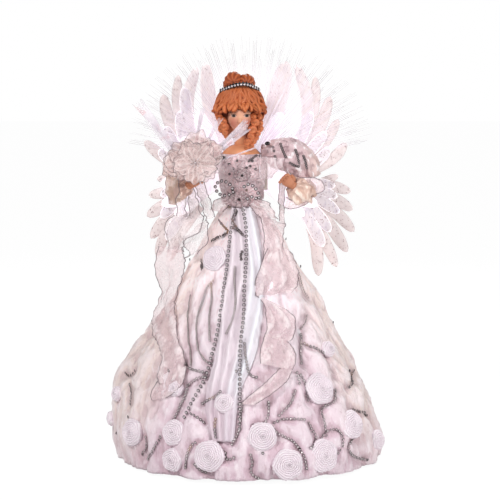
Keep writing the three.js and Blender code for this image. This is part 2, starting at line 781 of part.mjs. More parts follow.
// Brooches: a stone on a dome whose rim is scalloped by its ring of beads, leaning as the bodice does.
function broochOf(piece) {
  const scallop = (share) => (i) => 1 - (i % 2) * share * (piece.bead / piece.radius);
  const level = (radius, height, share) =>
    ring(point(0, 0, height), east, north, radius, radius, piece.beads * 2, scallop(share));
  const dome = throughRings([
    level(piece.radius - piece.bead / 2, 0, 1),
    level(piece.radius, piece.bead / 2, 1),
    level(piece.radius - piece.bead / 2, piece.bead, 0.7),
    level(piece.stone, piece.depth, 0),
  ]);
  const stone = egg(point(0, 0, piece.depth), piece.stone, piece.stone, piece.depth / 2, 8, 4);
  const height = waistHeight + piece.rise;
  const [low, high] = [height - piece.radius, height + piece.radius];
  const tilt = Math.atan2(bodiceFront(low) - bodiceFront(high), high - low);
  const front = Math.min(bodiceFront(height), (bodiceFront(low) + bodiceFront(high)) / 2);
  return joined([dome, stone])
    .rotateX(fullTurn / 4 + tilt)
    .translate(leanAt(height), front - seam, height);
}
add("brooch_upper", broochOf(upperBrooch), 0x9a9492, 0.3, 0.8);
add("brooch_lower", broochOf(lowerBrooch), 0x8c8684, 0.3, 0.8);

// Bead loops lie on the bodice: an ellipse drawn on its surface, open at one end.
function beadLoop(piece) {
  const lift = bodiceLift + stitch + loop.bead;
  const tilt = radians(piece.tilt);
  const places = Array.from({ length: curveSteps + 1 }, (_, step) => {
    const angle = radians(piece.start + (piece.sweep * step) / curveSteps);
    const [u, v] = [piece.halfWidth * Math.cos(angle), piece.halfHeight * Math.sin(angle)];
    const height = waistHeight + lowerBrooch.rise + piece.rise + u * Math.sin(tilt) + v * Math.cos(tilt);
    const around = u * Math.cos(tilt) - v * Math.sin(tilt);
    return onTorso(radians(piece.turn) + around / (torsoRadius(height) + lift), height, lift);
  });
  return beadString(new THREE.CatmullRomCurve3(places), loop, () => point(0, -1, 0));
}
add("bead_loop_left", beadLoop(leftLoop), 0xb9b4b4, 0.25, 0.85);
add("bead_loop_right", beadLoop(rightLoop), 0xb9b4b4, 0.25, 0.85);

// Bead strands follow the folds of the skirt.
function beadStrand(route) {
  const places = route.map(([turn, share]) => [radians(turn), share]);
  const guide = new THREE.CatmullRomCurve3(places.map(([turn, share]) => point(turn, share, 0)));
  const steps = 60;
  const points = Array.from({ length: steps + 1 }, (_, step) => {
    const { x: turn, y: share } = guide.getPoint(step / steps);
    return onSkirt(turn, share, stitch + strand.bead);
  });
  return beadString(new THREE.CatmullRomCurve3(points), strand, () => point(0, -1, 0));
}
add("bead_strand_left", beadStrand(leftStrandShares), 0xb9b4b4, 0.25, 0.85);
add("bead_strand_right", beadStrand(rightStrandShares), 0xb9b4b4, 0.25, 0.85);

// A rosette is one ribbon on edge, wound outwards, with its foot on the folds of the skirt.
let leastWindingGap = Infinity;

function rosetteOf([turnDegrees, share, sizeShare]) {
  const turn = radians(turnDegrees);
  const radius = rosette.radius * sizeShare;
  const core = winding.coreShare * radius;
  const turns = sizeShare > smallShare ? winding.turns : winding.fewerTurns;
  const pitch = (radius - core) / turns;
  const thickness = pitch * winding.fillShare;
  const centre = onSkirt(turn, share);
  const normal = onSkirt(turn, share, 1).sub(centre).normalize();
  const across = point(-Math.sin(turn), Math.cos(turn), 0);
  const up = normal.clone().cross(across);
  const around = Math.hypot(centre.x - leanAt(centre.z), centre.y);
  const foot = (distance, angle) => {
    const [u, v] = [distance * Math.cos(angle), distance * Math.sin(angle)];
    return onSkirt(turn + u / around, share + (v * up.z) / waistHeight, rosette.foot);
  };
  const steps = Math.round(turns * winding.stepsPerTurn);
  const rings = [];
  for (let step = 0; step <= steps; step++) {
    const angle = (fullTurn * step) / winding.stepsPerTurn;
    const distance = core + (radius - core - thickness) * (step / steps) + thickness / 2;
    const outward = across.clone().multiplyScalar(Math.cos(angle)).addScaledVector(up, Math.sin(angle));
    const [near, far] = [foot(distance - thickness / 2, angle), foot(distance + thickness / 2, angle)];
    const rise = normal.clone().multiplyScalar(rosette.height * (1.1 - (0.35 * step) / steps));
    rise.addScaledVector(outward, rosette.flare * (step / steps));
    rings.push([near, far, far.clone().add(rise), near.clone().add(rise)]);
  }
  for (let step = 0; step + winding.stepsPerTurn <= steps; step++) {
    const gap = rings[step][1].distanceTo(rings[step + winding.stepsPerTurn][0]);
    leastWindingGap = Math.min(leastWindingGap, gap);
  }
  return throughRings(rings);
}

rosetteShares.forEach((row, i) => {
  add("rosette_" + String(i + 1).padStart(2, "0"), rosetteOf(row), 0xe4dbe6, 0.65);
});
console.log("least gap between the turns of a rosette: " + leastWindingGap.toFixed(2) + " mm");

// One cupped petal, from the heart outwards, as a thin sheet.
function petal(length, width, dish, thickness, angle) {
  const [spans, rows] = [4, 3];
  const shape = [0.22, 1, 0.66];
  const place = (off) => (i, j) => {
    const across = (i / (spans - 1)) * 2 - 1;
    const out = length * (0.1 + (0.9 * j) / (rows - 1)) * (1 - 0.12 * across ** 2 * (j / (rows - 1)));
    const sideways = (across * width * shape[j]) / 2;
    const forward = dish * (j / (rows - 1)) ** 2 + dish * 0.5 * across ** 2 + off;
    return point(
      out * Math.cos(angle) - sideways * Math.sin(angle),
      -forward,
      out * Math.sin(angle) + sideways * Math.cos(angle),
    );
  };
  return sheet(spans, rows, place(thickness), place(0));
}

const heartBack = bloomHeart / 3;
const rearBehind = heartBack + seam + bloomHeart;
const bloomHeight = cuffEnd + bloom.rise;
const bloomCentre = point(leanAt(bloomHeight) - bloom.out, -bloom.forward, bloomHeight);

// A ring of petals with a button at its heart. The rear ring is turned by half a petal.
function bloomOf(ringSizes, turn) {
  const petals = Array.from({ length: bloomPetals }, (_, i) => {
    const thickness = bloom.thickness * (1 + (i % 2) / 10);
    const angle = turn + (fullTurn * i) / bloomPetals;
    return petal(ringSizes.petalLength, ringSizes.petalWidth, ringSizes.dish, thickness, angle);
  });
  const button = egg(point(0, -heartBack, 0), bloomHeart, bloomHeart / 1.5, bloomHeart, 8, 5);
  return joined([...petals, button]);
}

const bloomBackCentre = bloomCentre.clone().add(point(0, rearBehind, 0));
const halfPetal = fullTurn / bloomPetals / 2;
add("flower_front", bloomOf(bloom, fullTurn / 4).translate(...bloomCentre), 0xd9c4c4, 0.5);
add("flower_back", bloomOf(bloomRear, fullTurn / 4 - halfPetal).translate(...bloomBackCentre), 0xd3bdbd, 0.5);

// A ribbon falls past the skirt and ruffles in and out along its length; its last stretch lies on the folds.
function ribbonOf(route) {
  const centreline = new THREE.CatmullRomCurve3(
    route.map(([turn, share, lift]) => onSkirt(radians(turn), share, lift * ribbon.width, 0)),
  );
  const facing = new THREE.CatmullRomCurve3(route.map(([, , lift, turn]) => point(radians(turn), lift, 0)));
  const place = (off) => (i, j) => {
    const along = i / (ribbon.steps - 1);
    const { x: turn, y: lift } = facing.getPoint(along);
    const across = ribbon.width * (j / (ribbon.across - 1) - 0.5);
    const wave = Math.sin(fullTurn * ribbon.ruffles * along + (j * Math.PI) / 2.5);
    const ruffle = ribbon.ruffle * wave * Math.min(1, (lift * ribbon.width) / ribbon.ruffle / 2) + off;
    return centreline
      .getPoint(along)
      .addScaledVector(point(-Math.sin(turn), Math.cos(turn), 0), across)
      .addScaledVector(point(Math.cos(turn), Math.sin(turn), 0), ruffle);
  };
  return sheet(ribbon.steps, ribbon.across, place(ribbon.thickness), place(0));
}
add("ribbon_left", ribbonOf(leftRibbonShares), 0xe6dcdf, 0.45);
add("ribbon_right", ribbonOf(rightRibbonShares), 0xe6dcdf, 0.45);

// Half of a feather's outline: share of its length, share of its width
const featherEdgeShares = [
  [0.34, 0.8],
  [0.68, 1],
  [0.9, 0.6],
];

// Each feather starts inside the web, at this share of the way to its own root.
const featherFootShare = 0.1;

// A row of feathers cut from one sheet of film: a web at the root, and a feather between each two notches.
function featherRow(table, roots, back) {
  const place = (angle, reach, sideways = 0) =>
    new THREE.Vector2(
      reach * Math.cos(angle) - sideways * Math.sin(angle),
      wingHeight + reach * Math.sin(angle) + sideways * Math.cos(angle),
    );
  const angles = table.map(([degrees]) => radians(degrees));
  const starts = roots.map((share) => wing.longest * share);
  const foot = wingHeight - bracket.bottomDrop;
  const top = new THREE.Vector2(0, wingHeight + wing.webRise);
  const between = starts.slice(1).map((start, i) => place((angles[i] + angles[i + 1]) / 2, start));
  const notches = [top, ...between, new THREE.Vector2(bracket.halfWidth, foot)];
  const feathers = table.map(([, share], i) => {
    const end = wing.longest * share;
    const edge = (edgeSign) => ([along, wide]) =>
      place(angles[i], starts[i] + (end - starts[i]) * along, (edgeSign * wing.width * wide) / 2);
    const up = featherEdgeShares.map(edge(1));
    const down = featherEdgeShares.map(edge(-1)).reverse();
    const inner = place(angles[i], starts[i] * featherFootShare);
    return [inner, notches[i], ...up, place(angles[i], end), ...down, notches[i + 1]];
  });
  const film = { depth: wing.film, bevelEnabled: false };
  const outlines = [[new THREE.Vector2(0, foot), ...notches], ...feathers];
  const sheets = outlines.map((outline) => new THREE.ExtrudeGeometry(new THREE.Shape(outline), film));
  return joined(sheets).rotateX(fullTurn / 4).translate(seam, back + wing.film, 0);
}

// The same piece on the other side of the middle plane
function mirrored(geometry) {
  const order = Array.from(geometry.index.array).reverse();
  return geometry.clone().scale(-1, 1, 1).setIndex(order);
}

for (const [name, table, roots, back] of [
  ["wing_outer_", outerFeatherShares, outerRootShares, wing.back + wing.film + seam],
  ["wing_inner_", innerFeatherShares, innerRootShares, wing.back],
]) {
  const row = featherRow(table, roots, back);
  add(name + "right", row, 0xf4e8ec, 0.3);
  add(name + "left", mirrored(row), 0xf4e8ec, 0.3);
}

// The wings' bracket: a plate on the back of the body, with four pegs that reach the wings.
const backOfBody = (torso.bust + bodiceLift) * torso.depthShare + seam;

const bracketFoot = wingHeight - bracket.bottomDrop;
const bracketTop = wingHeight - bracket.topDrop;

function wingBracket() {
  const plate = block(
    point(bracket.centre - bracket.halfWidth, backOfBody, bracketFoot),
    point(bracket.centre + bracket.halfWidth, backOfBody + bracket.thickness, bracketTop),
  );
  const reach = wing.back - backOfBody - seam;
  const pegs = [];
  for (const sign of [-1, 1])
    for (const height of [bracketFoot + peg.rise, bracketTop - peg.rise]) {
      const out = bracket.halfWidth - peg.radius;
      const pin = post(peg.radius, 0, reach, peg.sides).rotateX(-fullTurn / 4);
      pegs.push(pin.translate(bracket.centre + sign * out, backOfBody, height));
    }
  return joined([plate, ...pegs]);
}
add("wing_bracket", wingBracket(), 0xe9e4dc, 0.6);

// The lamp can is open above, where the fibres' plug enters it.
const lampBack = backOfBody + bracket.thickness + seam + lamp.radius;

const lampFoot = wingHeight - lamp.bottomDrop;
const lampTop = wingHeight - lamp.topDrop;

function lampHousing() {
  const inner = lamp.radius - lamp.wall;
  const profile = [
    [0, lampFoot],
    [lamp.radius, lampFoot],
    [lamp.radius, lampTop],
    [inner, lampTop],
    [inner, lampFoot + lamp.wall],
    [0, lampFoot + lamp.wall],
  ].map(([radius, height]) => new THREE.Vector2(radius, height));
  return new THREE.LatheGeometry(profile, lamp.sides).rotateX(fullTurn / 4).translate(0, lampBack, 0);
}
add("lamp_housing", lampHousing(), 0xefece6, 0.5);

function lampLed() {
  const base = lampFoot + lamp.wall + seam;
  const rim = led.radius * led.rimShare;
  const profile = [
    [0, 0],
    [rim, 0],
    [rim, lamp.wall],
    [led.radius, lamp.wall],
  ];
  const dome = [0, 0.4, 0.8, 1].map((share) => [
    led.radius * Math.cos((share * fullTurn) / 4),
    led.height - led.radius * (1 - Math.sin((share * fullTurn) / 4)),
  ]);
  const outline = [...profile, ...dome].map(([radius, height]) => new THREE.Vector2(radius, base + height));
  outline[outline.length - 1].x = 0;
  return new THREE.LatheGeometry(outline, led.sides).rotateX(fullTurn / 4).translate(0, lampBack, 0);
}
add("lamp_led", lampLed(), 0xfaf8ff, 0.1);

// A fibre: three sides, fused to its ferrule and drawn out to a point.
function fibreStrand(root, tip, thick, turn) {
  const along = tip.clone().sub(root).normalize();
  const across = along.clone().cross(point(0, 1, 0)).normalize();
  const up = across.clone().cross(along);
  const corners = [0, 1, 2].map((i) => {
    const angle = turn + (fullTurn * i) / 3;
    return root
      .clone()
      .addScaledVector(across, Math.cos(angle) * thick)
      .addScaledVector(up, Math.sin(angle) * thick);
  });
  return closedBody([...corners, tip], [0, 1, 2, 0, 3, 1, 1, 3, 2, 2, 3, 0]);
}

// The fan: its ferrule is a half-round block with a plug that goes down into the lamp.
function fibreFan() {
  const height = wingHeight - fan.drop;
  const centre = point(0, lampBack, height);
  const halfRound = post(fan.radius, -fan.depth / 2, fan.depth / 2, fan.sides).rotateX(fullTurn / 4);
  halfRound.translate(...centre);
  const plug = post(lamp.radius - lamp.wall - seam, lampTop - lamp.plug, height, lamp.sides);
  const lower = block(
    point(-fan.radius - overrun, lampBack - fan.depth, lampTop - fan.radius),
    point(fan.radius + overrun, lampBack + fan.depth, lampTop + seam),
  );
  const body = toManifold(cut(halfRound, lower)).add(toManifold(plug.translate(0, lampBack, 0)));
  const strands = [];
  for (let layer = 0; layer < fanLayers; layer++)
    for (let i = 0; i < fanPerLayer; i++) {
      const place = (i + (layer % 2 ? 0.5 : 0)) / (fanPerLayer - 0.5);
      const angle = radians(90 + fanSweep * (0.5 - place));
      const direction = point(Math.cos(angle), 0, Math.sin(angle));
      const reach = fan.reach * fanReachShares[(i * 4 + layer * 7) % fanReachShares.length];
      const depth = ((layer + 0.5) / fanLayers - 0.5) * (fan.depth - fan.thick * 2);
      const level = centre.clone().addScaledVector(north, depth);
      const root = level.clone().addScaledVector(direction, fan.radius - fan.thick * 2);
      const tip = level.clone().addScaledVector(direction, reach);
      strands.push(toManifold(fibreStrand(root, tip, fan.thick / 2, angle)));
    }
  return fromManifold(strands.reduce((all, next) => all.add(next), body));
}
add("fibre_fan", fibreFan(), 0xf6f2f8, 0.2);

// The spray behind the bloom: sheaves of fibres from a small ferrule on a wire stem that the hand holds.
function fibreSpray() {
  const behind = rearBehind + heartBack + seam + spray.depth / 2;
  const centre = bloomCentre.clone().add(point(0, behind, 0));
  const ferrule = post(spray.radius, -spray.depth / 2, spray.depth / 2, 10).rotateX(fullTurn / 4);
  ferrule.translate(...centre);
  const palm = palmOf(-1);
  const stemEnd = palm.wrist.clone().lerp(palm.palmEnd, 0.5);
  stemEnd.z += hand.palmWidth + spray.stem + seam;
  const stem = bar(new THREE.CatmullRomCurve3([centre.clone(), stemEnd]), 1, 6, () => spray.stem);
  const strands = sprayShares.flatMap(([middleAngle, spread, share, count]) =>
    Array.from({ length: count }, (_, i) => {
      const angle = radians(middleAngle + spread * ((i + 0.5) / count - 0.5));
      const direction = point(Math.cos(angle), 0, Math.sin(angle));
      const level = ((i % 3) - 1) * (spray.depth / 4);
      const root = centre.clone().addScaledVector(direction, spray.radius - spray.thick * 2);
      const tip = centre.clone().addScaledVector(direction, spray.length * share * (1 - (i % 4) / 14));
      root.y += level;
      tip.y += level * 2;
      return fibreStrand(root, tip, spray.thick / 2, angle);
    }),
  );
  return joined([ferrule, stem, ...strands]);
}
add("fibre_spray", fibreSpray(), 0xf6f2f8, 0.2);

// The battery set is made upright, its back on the plane y = 0 and its foot on z = 0. It leans with the wall.
const wallSlope = (cone.baseRadius - cone.topRadius) / coneHeight;
const wallAngle = Math.atan(wallSlope);
const wallRadius = (height) => cone.baseRadius - height * wallSlope - cone.wall * Math.hypot(1, wallSlope);
const packBack = wallRadius(pack.rise) - pack.standoff;
const packMiddle = leanAt(pack.length / 2);
const onWall = (geometry) => geometry.rotateX(wallAngle).translate(packMiddle, packBack, pack.rise);

// Ends of the pack's layers, counted inwards from the wall
const doorBack = -pack.depth;
const doorFront = doorBack - seam - door.thickness - seam;
const packFront = doorFront - pack.lip;

function batteryCase() {
  const half = pack.width / 2;
  const inner = half - pack.wall;
  const room = block(
    point(-inner, doorBack - overrun, pack.endWall),
    point(inner, -pack.wall, pack.length - pack.wall),
  );
  const channel = block(
    point(-inner, doorFront, pack.endWall),
    point(inner, doorBack, pack.length + overrun),
  );
  const mouth = block(
    point(-inner + pack.lip, packFront - overrun, pack.endWall),
    point(inner - pack.lip, doorFront + overrun, pack.length + overrun),
  );
  const slotHalf = slider.width / 2 + seam;
  const slotMiddle = -pack.depth / 2;
  const slot = block(
    point(-slider.length / 2 - seam, slotMiddle - slotHalf, -overrun),
    point(slider.length / 2 + slider.travel + seam, slotMiddle + slotHalf, slider.sunk + seam),
  );
  return cut(block(point(-half, packFront, 0), point(half, 0, pack.length)), room, channel, mouth, slot);
}
add("battery_case", onWall(batteryCase()), 0xe8e6e2, 0.5);

function batteryDoor() {
  const half = pack.width / 2 - pack.wall - seam;
  const leaf = block(
    point(-half, doorFront + seam, pack.endWall + seam),
    point(half, doorBack - seam, pack.length),
  );
  const ridgeHalf = half - pack.lip - door.ridgeWidth;
  const ridges = Array.from({ length: door.ridges }, (_, i) => {
    const height = pack.length - door.ridgePitch * (i + 1);
    return block(
      point(-ridgeHalf, doorFront + seam - door.ridge, height - door.ridgeWidth / 2),
      point(ridgeHalf, doorBack - seam * 2, height + door.ridgeWidth / 2),
    );
  });
  return joined([leaf, ...ridges]);
}
add("battery_door", onWall(batteryDoor()), 0xe8e6e2, 0.5);

const switchBody = block(
  point(-slider.length / 2, -pack.depth / 2 - slider.width / 2, -slider.proud),
  point(slider.length / 2, -pack.depth / 2 + slider.width / 2, slider.sunk),
);
add("switch_slider", onWall(switchBody), 0x3a3a3c, 0.5);

// Two cells stand side by side between the contacts, each the other way up.
const contactRise = pack.endWall + seam;
const cellRise = contactRise + contact.thickness + seam;

function cellOf(up) {
  const profile = [
    [0, 0],
    [cell.radius, 0],
    [cell.radius, cell.length],
    [cell.nubRadius, cell.length],
    [cell.nubRadius, cell.length + cell.nubLength],
    [0, cell.length + cell.nubLength],
  ].map(([radius, height]) => new THREE.Vector2(radius, height));
  const body = new THREE.LatheGeometry(profile, cell.sides).rotateX(fullTurn / 4);
  const height = cell.length + cell.nubLength;
  return up > 0 ? body : body.rotateX(fullTurn / 2).translate(0, 0, height);
}

for (const [name, sign] of [
  ["battery_cell_left", -1],
  ["battery_cell_right", 1],
]) {
  const backwards = -pack.wall - seam - cell.radius;
  const inRoom = cellOf(sign).translate(sign * (cell.radius + seam), backwards, cellRise);
  add(name, onWall(inRoom), 0x6d7a86, 0.4, 0.4);
}

for (const [name, low] of [
  ["battery_contact_low", contactRise],
  ["battery_contact_high", pack.length - pack.wall - seam - contact.thickness],
]) {
  const strip = block(
    point(-contact.width / 2, -pack.wall - seam - cell.radius - contact.height / 2, low),
    point(contact.width / 2, -pack.wall - seam - cell.radius + contact.height / 2, low + contact.thickness),
  );
  add(name, onWall(strip), 0xc9c5bd, 0.3, 0.9);
}

export default angel;
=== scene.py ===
"""The looks of an angel for the top of a tree: a half-doll on a cone, in a folded skirt of satin and organza
with ribbon rosettes, strings of sequins and beads, film wings and two sprays of light fibres.

Sizes are in millimetres, and every mesh is written in metres. +Z is up and the figure faces -Y.
"""

import math

import bmesh
import bpy
import numpy as np
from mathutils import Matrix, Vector, noise
from mathutils.bvhtree import BVHTree
from mathutils.kdtree import KDTree

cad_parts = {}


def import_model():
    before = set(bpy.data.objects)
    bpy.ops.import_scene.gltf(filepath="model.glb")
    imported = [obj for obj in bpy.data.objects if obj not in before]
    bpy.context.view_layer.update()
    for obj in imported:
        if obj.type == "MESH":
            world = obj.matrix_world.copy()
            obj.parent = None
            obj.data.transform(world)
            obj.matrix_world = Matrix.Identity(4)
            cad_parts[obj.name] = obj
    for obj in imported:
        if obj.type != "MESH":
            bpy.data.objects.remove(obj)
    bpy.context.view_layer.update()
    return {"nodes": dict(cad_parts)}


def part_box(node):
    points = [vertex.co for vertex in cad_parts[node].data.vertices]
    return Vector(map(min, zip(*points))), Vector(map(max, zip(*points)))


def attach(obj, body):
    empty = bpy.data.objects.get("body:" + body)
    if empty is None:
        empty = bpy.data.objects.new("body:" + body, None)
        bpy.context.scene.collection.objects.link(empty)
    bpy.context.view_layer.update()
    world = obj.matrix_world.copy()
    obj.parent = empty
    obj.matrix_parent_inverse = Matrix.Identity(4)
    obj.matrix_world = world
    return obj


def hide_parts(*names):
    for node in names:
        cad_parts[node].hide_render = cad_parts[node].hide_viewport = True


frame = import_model()

MM = 0.001
FULL_TURN = 2 * math.pi
# The figure's sides, and the way that each lies
SIDES = (("left", -1), ("right", 1))

# The camera's place, what it looks at and its lens
CAMERA_PLACE = (0.0, -1787.0, 420.0)
CAMERA_TARGET = (0.0, 0.0, 200.0)
LENS = 135.0
SENSOR = 36.0
IMAGE_SIZE = 500
IMAGE_CENTRE = (249.5, 250.0)
# A pixel's size at the figure
PIXEL = 0.96

# The skirt, as the frame's solid has it
WAIST_HEIGHT = 243.0
WAIST_RADIUS = 21.5
WAIST_LEAN = -7.0
HEM_RADIUS = 129.0
HEM_FOLD = 7.0
WAIST_FOLD = 1.4
FOLD_COUNT = 16
SKIRT_PROFILE_SHARES = ((0, 1), (0.11, 0.968), (0.25, 0.868), (0.43, 0.68), (0.62, 0.452), (0.82, 0.232),
                        (1, 0))


# Points and shapes

def vector(*parts):
    return np.array(parts, float)


def unit(vectors):
    """Vectors brought to a length of one."""
    lengths = np.linalg.norm(vectors, axis=-1, keepdims=True)
    return vectors / np.maximum(lengths, 1e-9)


def smooth_line(points, count):
    """A smooth line through points, as that many points at even steps. A point may carry further values."""
    points = np.asarray(points, float)
    ends = 2 * points[[0, -1]] - points[[1, -2]]
    padded = np.vstack([ends[:1], points, ends[1:]])
    dense = []
    for a, b, c, d in zip(padded, padded[1:], padded[2:], padded[3:]):
        for t in np.linspace(0, 1, 12, endpoint=False):
            dense.append(0.5 * (2 * b + (c - a) * t + (2 * a - 5 * b + 4 * c - d) * t ** 2
                                + (3 * b - a - 3 * c + d) * t ** 3))
    dense = np.array(dense + [points[-1]])
    lengths = np.concatenate([[0], np.cumsum(np.linalg.norm(np.diff(dense[:, :3], axis=0), axis=1))])
    places = np.linspace(0, lengths[-1], count)
    return np.column_stack([np.interp(places, lengths, column) for column in dense.T])


def angles(count):
    """Angles at even steps round a full turn."""
    return np.arange(count) * FULL_TURN / count


def between(ends, share):
    """The value at a share of the way from one end to the other."""
    return ends[0] + (ends[1] - ends[0]) * share


def line_length(points):
    return float(np.linalg.norm(np.diff(points[:, :3], axis=0), axis=1).sum())


class Shape:
    """Points in millimetres, faces between them, and named values kept at each point."""

    def __init__(self, points, faces, **marks):
        self.points = np.asarray(points, float).reshape(-1, 3)
        self.faces = faces
        self.marks = {name: np.asarray(values, float).ravel() for name, values in marks.items()}

    @staticmethod
    def joined(shapes):
        """Several shapes as one. A value that a shape lacks is zero there."""
        faces = []
        start = 0
        for shape in shapes:
            faces += [tuple(corner + start for corner in face) for face in shape.faces]
            start += len(shape.points)
        marks = {}
        for name in sorted({name for shape in shapes for name in shape.marks}):
            values = [shape.marks.get(name, np.zeros(len(shape.points))) for shape in shapes]
            marks[name] = np.concatenate(values)
        return Shape(np.vstack([shape.points for shape in shapes]), faces, **marks)

    def piece(self, name, finish, smooth=True):
        """Makes the object, its faces pointing outwards."""
        mesh = bpy.data.meshes.new(name)
        faces = [tuple(int(corner) for corner in face) for face in self.faces]
        mesh.from_pydata((self.points * MM).tolist(), [], faces)
        for mark, values in self.marks.items():
            mesh.attributes.new(mark, "FLOAT", "POINT").data.foreach_set("value", values.astype(np.float32))
        body = bmesh.new()
        body.from_mesh(mesh)
        bmesh.ops.recalc_face_normals(body, faces=body.faces)
        body.to_mesh(mesh)
        body.free()
        mesh.polygons.foreach_set("use_smooth", [smooth] * len(mesh.polygons))
        mesh.materials.append(finish)
        made = bpy.data.objects.new(name, mesh)
        bpy.context.scene.collection.objects.link(made)
        return made


def grid_faces(rows, columns, closed=False, start=0):
    """Four-sided faces over a grid of rows and columns. A closed grid joins its last column to its first."""
    spans = columns if closed else columns - 1
    faces = []
    for row in range(rows - 1):
        for column in range(spans):
            after = (column + 1) % columns
            a = start + row * columns + column
            b = start + row * columns + after
            faces.append((a, b, b + columns, a + columns))
    return faces


def cloth(points, thickness, closed=False, **marks):
    """A thin closed sheet along a grid of points (rows, columns, 3). Marks are grids of the same size."""
    rows, columns, _ = points.shape
    if closed:
        across = np.roll(points, -1, axis=1) - np.roll(points, 1, axis=1)
    else:
        across = np.gradient(points, axis=1)
    normals = unit(np.cross(np.gradient(points, axis=0), across))
    sides = np.stack([points + normals * thickness / 2, points - normals * thickness / 2])
    back = rows * columns
    faces = grid_faces(rows, columns, closed)
    faces += [face[::-1] for face in grid_faces(rows, columns, closed, back)]
    spans = columns if closed else columns - 1
    for row in (0, (rows - 1) * columns):
        for column in range(spans):
            a = row + column
            b = row + (column + 1) % columns
            faces.append((a, b, b + back, a + back))
    for row in range(0 if closed else rows - 1):
        for column in (0, columns - 1):
            a = row * columns + column
            b = a + columns
            faces.append((a, b, b + back, a + back))
    doubled = {name: np.concatenate([np.ravel(values)] * 2) for name, values in marks.items()}
    return Shape(sides, faces, **doubled)


def loft(rings, **marks):
    """A closed body through rings of points (rings, points, 3), its two ends closed by a face."""
    count, sides, _ = rings.shape
    faces = grid_faces(count, sides, closed=True)
    faces.append(tuple(range(sides)))
    faces.append(tuple((count - 1) * sides + corner for corner in range(sides)))
    return Shape(rings, faces, **marks)


def tube(path, radius, sides=6):
    """A round tube along a line of points. Its radius may change from point to point."""
    path = np.asarray(path, float)[:, :3]
    count = len(path)
    radius = np.broadcast_to(radius, count)
    ahead = unit(np.gradient(path, axis=0))
    start = np.cross(ahead[0], (0, 0, 1))
    if np.linalg.norm(start) < 0.1:
        start = np.cross(ahead[0], (0, 1, 0))
    side = unit(start)
    rings = []
    turns = angles(sides)
    for place, direction, reach in zip(path, ahead, radius):
        side = unit(side - direction * (side @ direction))
        up = np.cross(direction, side)
        rings.append(place + reach * (np.outer(np.cos(turns), side) + np.outer(np.sin(turns), up)))
    return loft(np.array(rings), around=np.tile(np.arange(sides) / sides, count))


def all_round(rows, columns, least=0.02):
    """A grid of directions all round, from near the top to near the bottom."""
    downs = np.linspace(least, math.pi - least, rows)
    down, turn = np.meshgrid(downs, angles(columns), indexing="ij")
    return np.stack([np.sin(down) * np.cos(turn), np.sin(down) * np.sin(turn), np.cos(down)], axis=-1)


def egg(centre, halves, rows=24, columns=36, swell=None):
    """A closed egg shape. "swell" gives a factor on the reach for each direction."""
    directions = all_round(rows, columns)
    reach = 1.0 if swell is None else swell(directions)[..., None]
    return loft(np.asarray(centre) + directions * np.asarray(halves) * reach)


def roughness_of(points, size, seed, sharp=False):
    """Smooth random values from -1 to 1, changing over that size. Sharp ones have crests like creases."""
    shift = Vector((seed * 13.7, seed * 7.1, seed * 3.3))
    flat = np.asarray(points, float).reshape(-1, 3) / size
    values = np.array([noise.noise(Vector(place) + shift) for place in flat])
    if sharp:
        values = 1 - 2 * np.minimum(1, np.abs(values) * 2.2)
    return values.reshape(np.shape(points)[:-1])


# The view of the photograph, and the skirt's surface

def ray(px, py):
    """The direction in which a pixel of the photograph looks."""
    ahead = unit(vector(*CAMERA_TARGET) - vector(*CAMERA_PLACE))
    right = unit(np.cross(ahead, (0, 0, 1)))
    up = np.cross(right, ahead)
    focal = LENS / SENSOR * IMAGE_SIZE
    return unit(ahead * focal + right * (px - IMAGE_CENTRE[0]) + up * (IMAGE_CENTRE[1] - py))


def seen_at(px, py, forward):
    """The point that a pixel shows, that far in front of the figure's middle."""
    direction = ray(px, py)
    reach = (-forward - CAMERA_PLACE[1]) / direction[1]
    return vector(*CAMERA_PLACE) + direction * reach


def sight_line(sights, count, *forward):
    """A smooth line of that many points through what pixels show."""
    return smooth_line([seen_at(*sight, *forward) for sight in sights], count)


def landed(shape, sights, lift):
    """Where the rays of pixels meet a shape, or the shape's nearest point, lifted towards the camera."""
    tree = BVHTree.FromPolygons(shape.points.tolist(), shape.faces)
    points = []
    for px, py in sights:
        direction = ray(px, py)
        met = tree.ray_cast(Vector(CAMERA_PLACE), Vector(direction))[0]
        if met is None:
            met = tree.find_nearest(Vector(seen_at(px, py, 20.0)))[0]
        points.append(np.array(met) - direction * lift)
    return np.array(points)


def lean_at(height):
    return WAIST_LEAN * height / WAIST_HEIGHT


skirt_profile = np.polynomial.Polynomial.fit(*np.transpose(SKIRT_PROFILE_SHARES), 5)


# On the viewer's left the cloth stands further out, most of all at this share of the waist's height
SIDE_BULGE = 18.0
SIDE_BULGE_SHARE = 0.33
# How far round and how far up and down the bulge reaches
BULGE_REACH = 0.15
BULGE_REACH_SHARE = 0.19
# The cloth turns in towards its hem
HEM_TUCK = 4.0
HEM_TUCK_SHARE = 0.05
# The distances from the camera between which a ray can meet the skirt, and the step to look in
NEAREST = 1560
FURTHEST = 1960
LOOK_STEP = 0.5


def crest_radius(share, turn):
    rise = ((share - SIDE_BULGE_SHARE) / BULGE_REACH_SHARE) ** 2
    bulge = SIDE_BULGE * np.exp(-(1 + np.cos(turn)) / BULGE_REACH - rise)
    bulge = bulge - HEM_TUCK * np.exp(-(share / HEM_TUCK_SHARE) ** 2)
    flare = np.clip(skirt_profile(np.clip(share, 0, 1)), 0, 1)
    return WAIST_RADIUS + (HEM_RADIUS - WAIST_RADIUS) * flare + bulge


